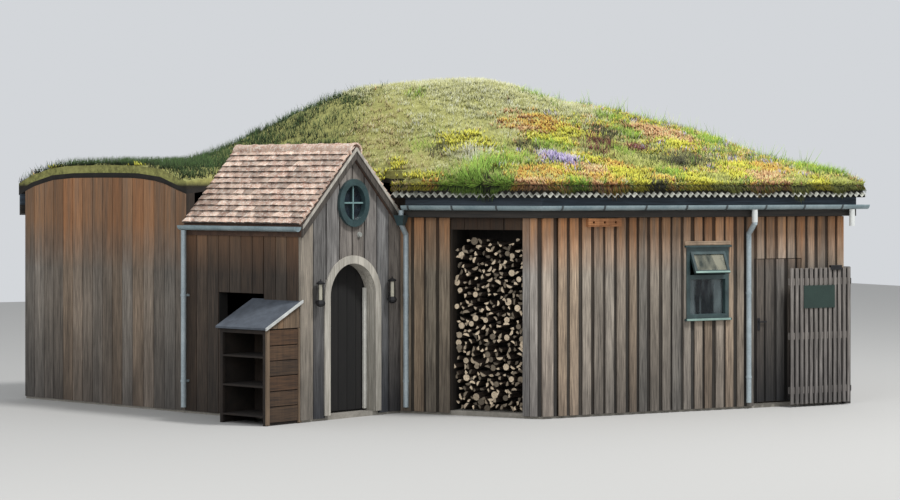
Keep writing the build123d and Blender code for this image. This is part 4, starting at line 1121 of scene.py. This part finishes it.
seeded = np.random.default_rng(7)
plant_head = cad_box[1].z + 0.1
low_kinds = ("pink_stonecrop", "orange_stonecrop", "yellow_stonecrop", "lilac_heads")
clump_count = 21000
most_spikes = 47000
wanted = {"grass_crown": [], "grass_slopes": [], "stonecrop": []}
for _ in range(clump_count):
    x = seeded.uniform(turf_low.x, turf_high.x)
    y = seeded.uniform(turf_low.y, turf_high.y)
    height = turf_at(x, y)
    if height is None:
        continue
    kind = plant_kind(x, y, seeded)
    grass = "grass_crown" if kind == "straw" else "grass_slopes"
    wanted["stonecrop" if kind in low_kinds else grass].append((x, y, height, kind))
for name, clumps in wanted.items():
    low_growing = name == "stonecrop"
    blades = min(most_spikes // max(len(clumps), 1), 30 if low_growing else 9)
    spread = 0.06 if low_growing else 0.035
    thickness = (0.007, 0.015) if low_growing else (0.003, 0.006)
    spikes = []
    for x, y, height, kind in clumps:
        short, tall = kinds[kind][2:]
        lean = seeded.uniform(-0.3, 0.3, 2)
        shade = seeded.uniform(0.7, 1.75) * (1 + 0.35 * noise.noise(Vector((x * 5, y * 5, 8))))
        for _ in range(blades):
            root = np.array((x, y, height)) + (*seeded.normal(0, spread, 2), 0.0)
            reach = min(seeded.uniform(short, tall), plant_head - height)
            swing = lean + seeded.uniform(-0.45, 0.45, 2)
            tip = root + (*(swing * reach), reach)
            width = seeded.uniform(*thickness)
            lights = shade * seeded.uniform(0.6, 1.45)
            spikes.append((root, tip, width, *spike_tints(kind, lights, 0.7)))
    add_spikes(name, spikes)

fringe_density = 1100
spikes = []
for wall, start, end, reach in edge_runs:
    for _ in range(int((end - start) * fringe_density)):
        spot = seeded.uniform(start, end)
        bunch = noise.noise(along(wall, spot) * 3.1)
        hanging = seeded.uniform() < 0.34
        place = along(wall, spot, -reach + seeded.uniform(0.0, 0.09))
        kind = plant_kind(place.x, place.y, seeded)
        length = seeded.uniform(*kinds[kind][2:]) * (1 + 0.7 * bunch)
        top = edge_top + edge_lift(wall, spot, reach)
        if hanging:
            place = along(wall, spot, -reach)
            root = (place.x, place.y, top - seeded.uniform(0.0, 0.04))
            drape = 0.05 + 0.32 * max(bunch, 0) * seeded.uniform(0.4, 1)
            swing = seeded.uniform(0.03, 0.075)
            out = along(wall, spot + seeded.uniform(-0.02, 0.02), -reach - swing)
            tip = (out.x, out.y, root[2] - drape)
            # Hanging plants are darker as painted shade under the edge.
            lights = seeded.uniform(0.2, 0.75)
        else:
            root = (place.x, place.y, top)
            out = along(wall, spot + seeded.uniform(-0.3, 0.3) * length, -reach - 0.35 * length)
            tip = (out.x, out.y, top + seeded.uniform(-0.15, 0.9) * length)
            lights = seeded.uniform(0.6, 1.25)
        width = seeded.uniform(0.004, 0.009)
        spikes.append((root, tip, width, *spike_tints(kind, lights, 0.6)))
add_spikes("fringe", spikes)


# The gate and its post at the right-hand corner: sawn slats on rails, hung on iron straps,
# with a bare dark green plate fixed across the slats.
gate_pivot = along(front, front_length + 0.03, -0.15)
gate = wall_frame(gate_pivot, radians(2))
dress("side_gate", weathered("gate_slats", (74, 70, 67), (158, 152, 146), toned=False))
dress("gate_post", weathered("gate_post_timber", (48, 45, 42), (92, 88, 84), toned=False))
plate_paint = mottled("plate_paint", (22, 42, 37), (34, 56, 49), 3, 0.45, 0.1, 0.001)
low, high = (-0.81, -0.028, 1.3), (-0.29, -0.02, 1.6)
add_block("gate_plate", "gate_leaf", plate_paint, gate, low, high)
slat_count = 12
slat_step = 0.955 / slat_count
slat_width = 0.045
backing_lap = 0.008
# Nearly black boards behind the gaps between the slats: painted shade in the gaps.
backing_shade_timber = weathered("gate_backing_shade", (8, 7, 7), (22, 20, 18))
bm = bmesh.new()
for count in range(slat_count):
    near = -0.02 - slat_width - count * slat_step + backing_lap
    far = near - (slat_step - slat_width) - 2 * backing_lap
    for low, high in ((0.06, 0.174), (0.266, 0.889), (0.981, 1.604), (1.696, 1.815)):
        add_box(bm, gate, (far, 0.0, low), (near, 0.009, high), chance.uniform(0.8, 1.2))
add_piece(bm, "gate_backing_shade", "gate_leaf", [backing_shade_timber])
low, high = (-0.36, -0.035, 1.8), (-0.17, 0.01, 1.862)
add_block("gate_catch", "gate_leaf", black_iron, gate, low, high, edge=0.004)


# The floor, the soft light of a bright grey sky, and the camera at the photograph's angle and
# height.
bpy.ops.mesh.primitive_plane_add(size=60, location=(0, 0, 0))
ground = bpy.context.object
pale_floor, tree = new_material("pale_floor")
floor_shader = tree.nodes["Principled BSDF"]
floor_shader.inputs["Base Color"].default_value = paint(176, 175, 172)
floor_shader.inputs["Roughness"].default_value = 0.9
ground.data.materials.append(pale_floor)

world = bpy.data.worlds.new("overcast")
bpy.context.scene.world = world
world.use_nodes = True
background = world.node_tree.nodes["Background"]
background.inputs["Color"].default_value = (0.93, 0.96, 1, 1)
background.inputs["Strength"].default_value = 0.7
light_target = Vector((0, 0, 1.5))


def add_light(name, spot, size, power):
    """A round soft light that looks at the middle of the shed."""
    light = bpy.data.lights.new(name, "AREA")
    light.shape = "DISK"
    light.size = size
    light.energy = power
    lamp = bpy.data.objects.new(name, light)
    turn = (light_target - Vector(spot)).to_track_quat("-Z", "Y")
    lamp.matrix_world = Matrix.Translation(spot) @ turn.to_matrix().to_4x4()
    bpy.context.scene.collection.objects.link(lamp)


add_light("sky_key", (7, -13, 23), size=5, power=6000)
add_light("sky_fill", (-14, -12, 8), size=10, power=700)

camera_spot = Vector((-15.5615, -29.0274, 2.9))
camera_aim = Vector((-0.42, -1.122, 2.9))
camera = bpy.data.objects.new("camera", bpy.data.cameras.new("camera"))
camera.data.sensor_width = 36
camera.data.lens = 97
camera.data.shift_y = -0.07
camera.data.clip_end = 200
camera_turn = (camera_aim - camera_spot).to_track_quat("-Z", "Y")
camera.matrix_world = Matrix.Translation(camera_spot) @ camera_turn.to_matrix().to_4x4()
bpy.context.scene.collection.objects.link(camera)
bpy.context.scene.camera = camera
bpy.context.scene.view_settings.view_transform = "Standard"
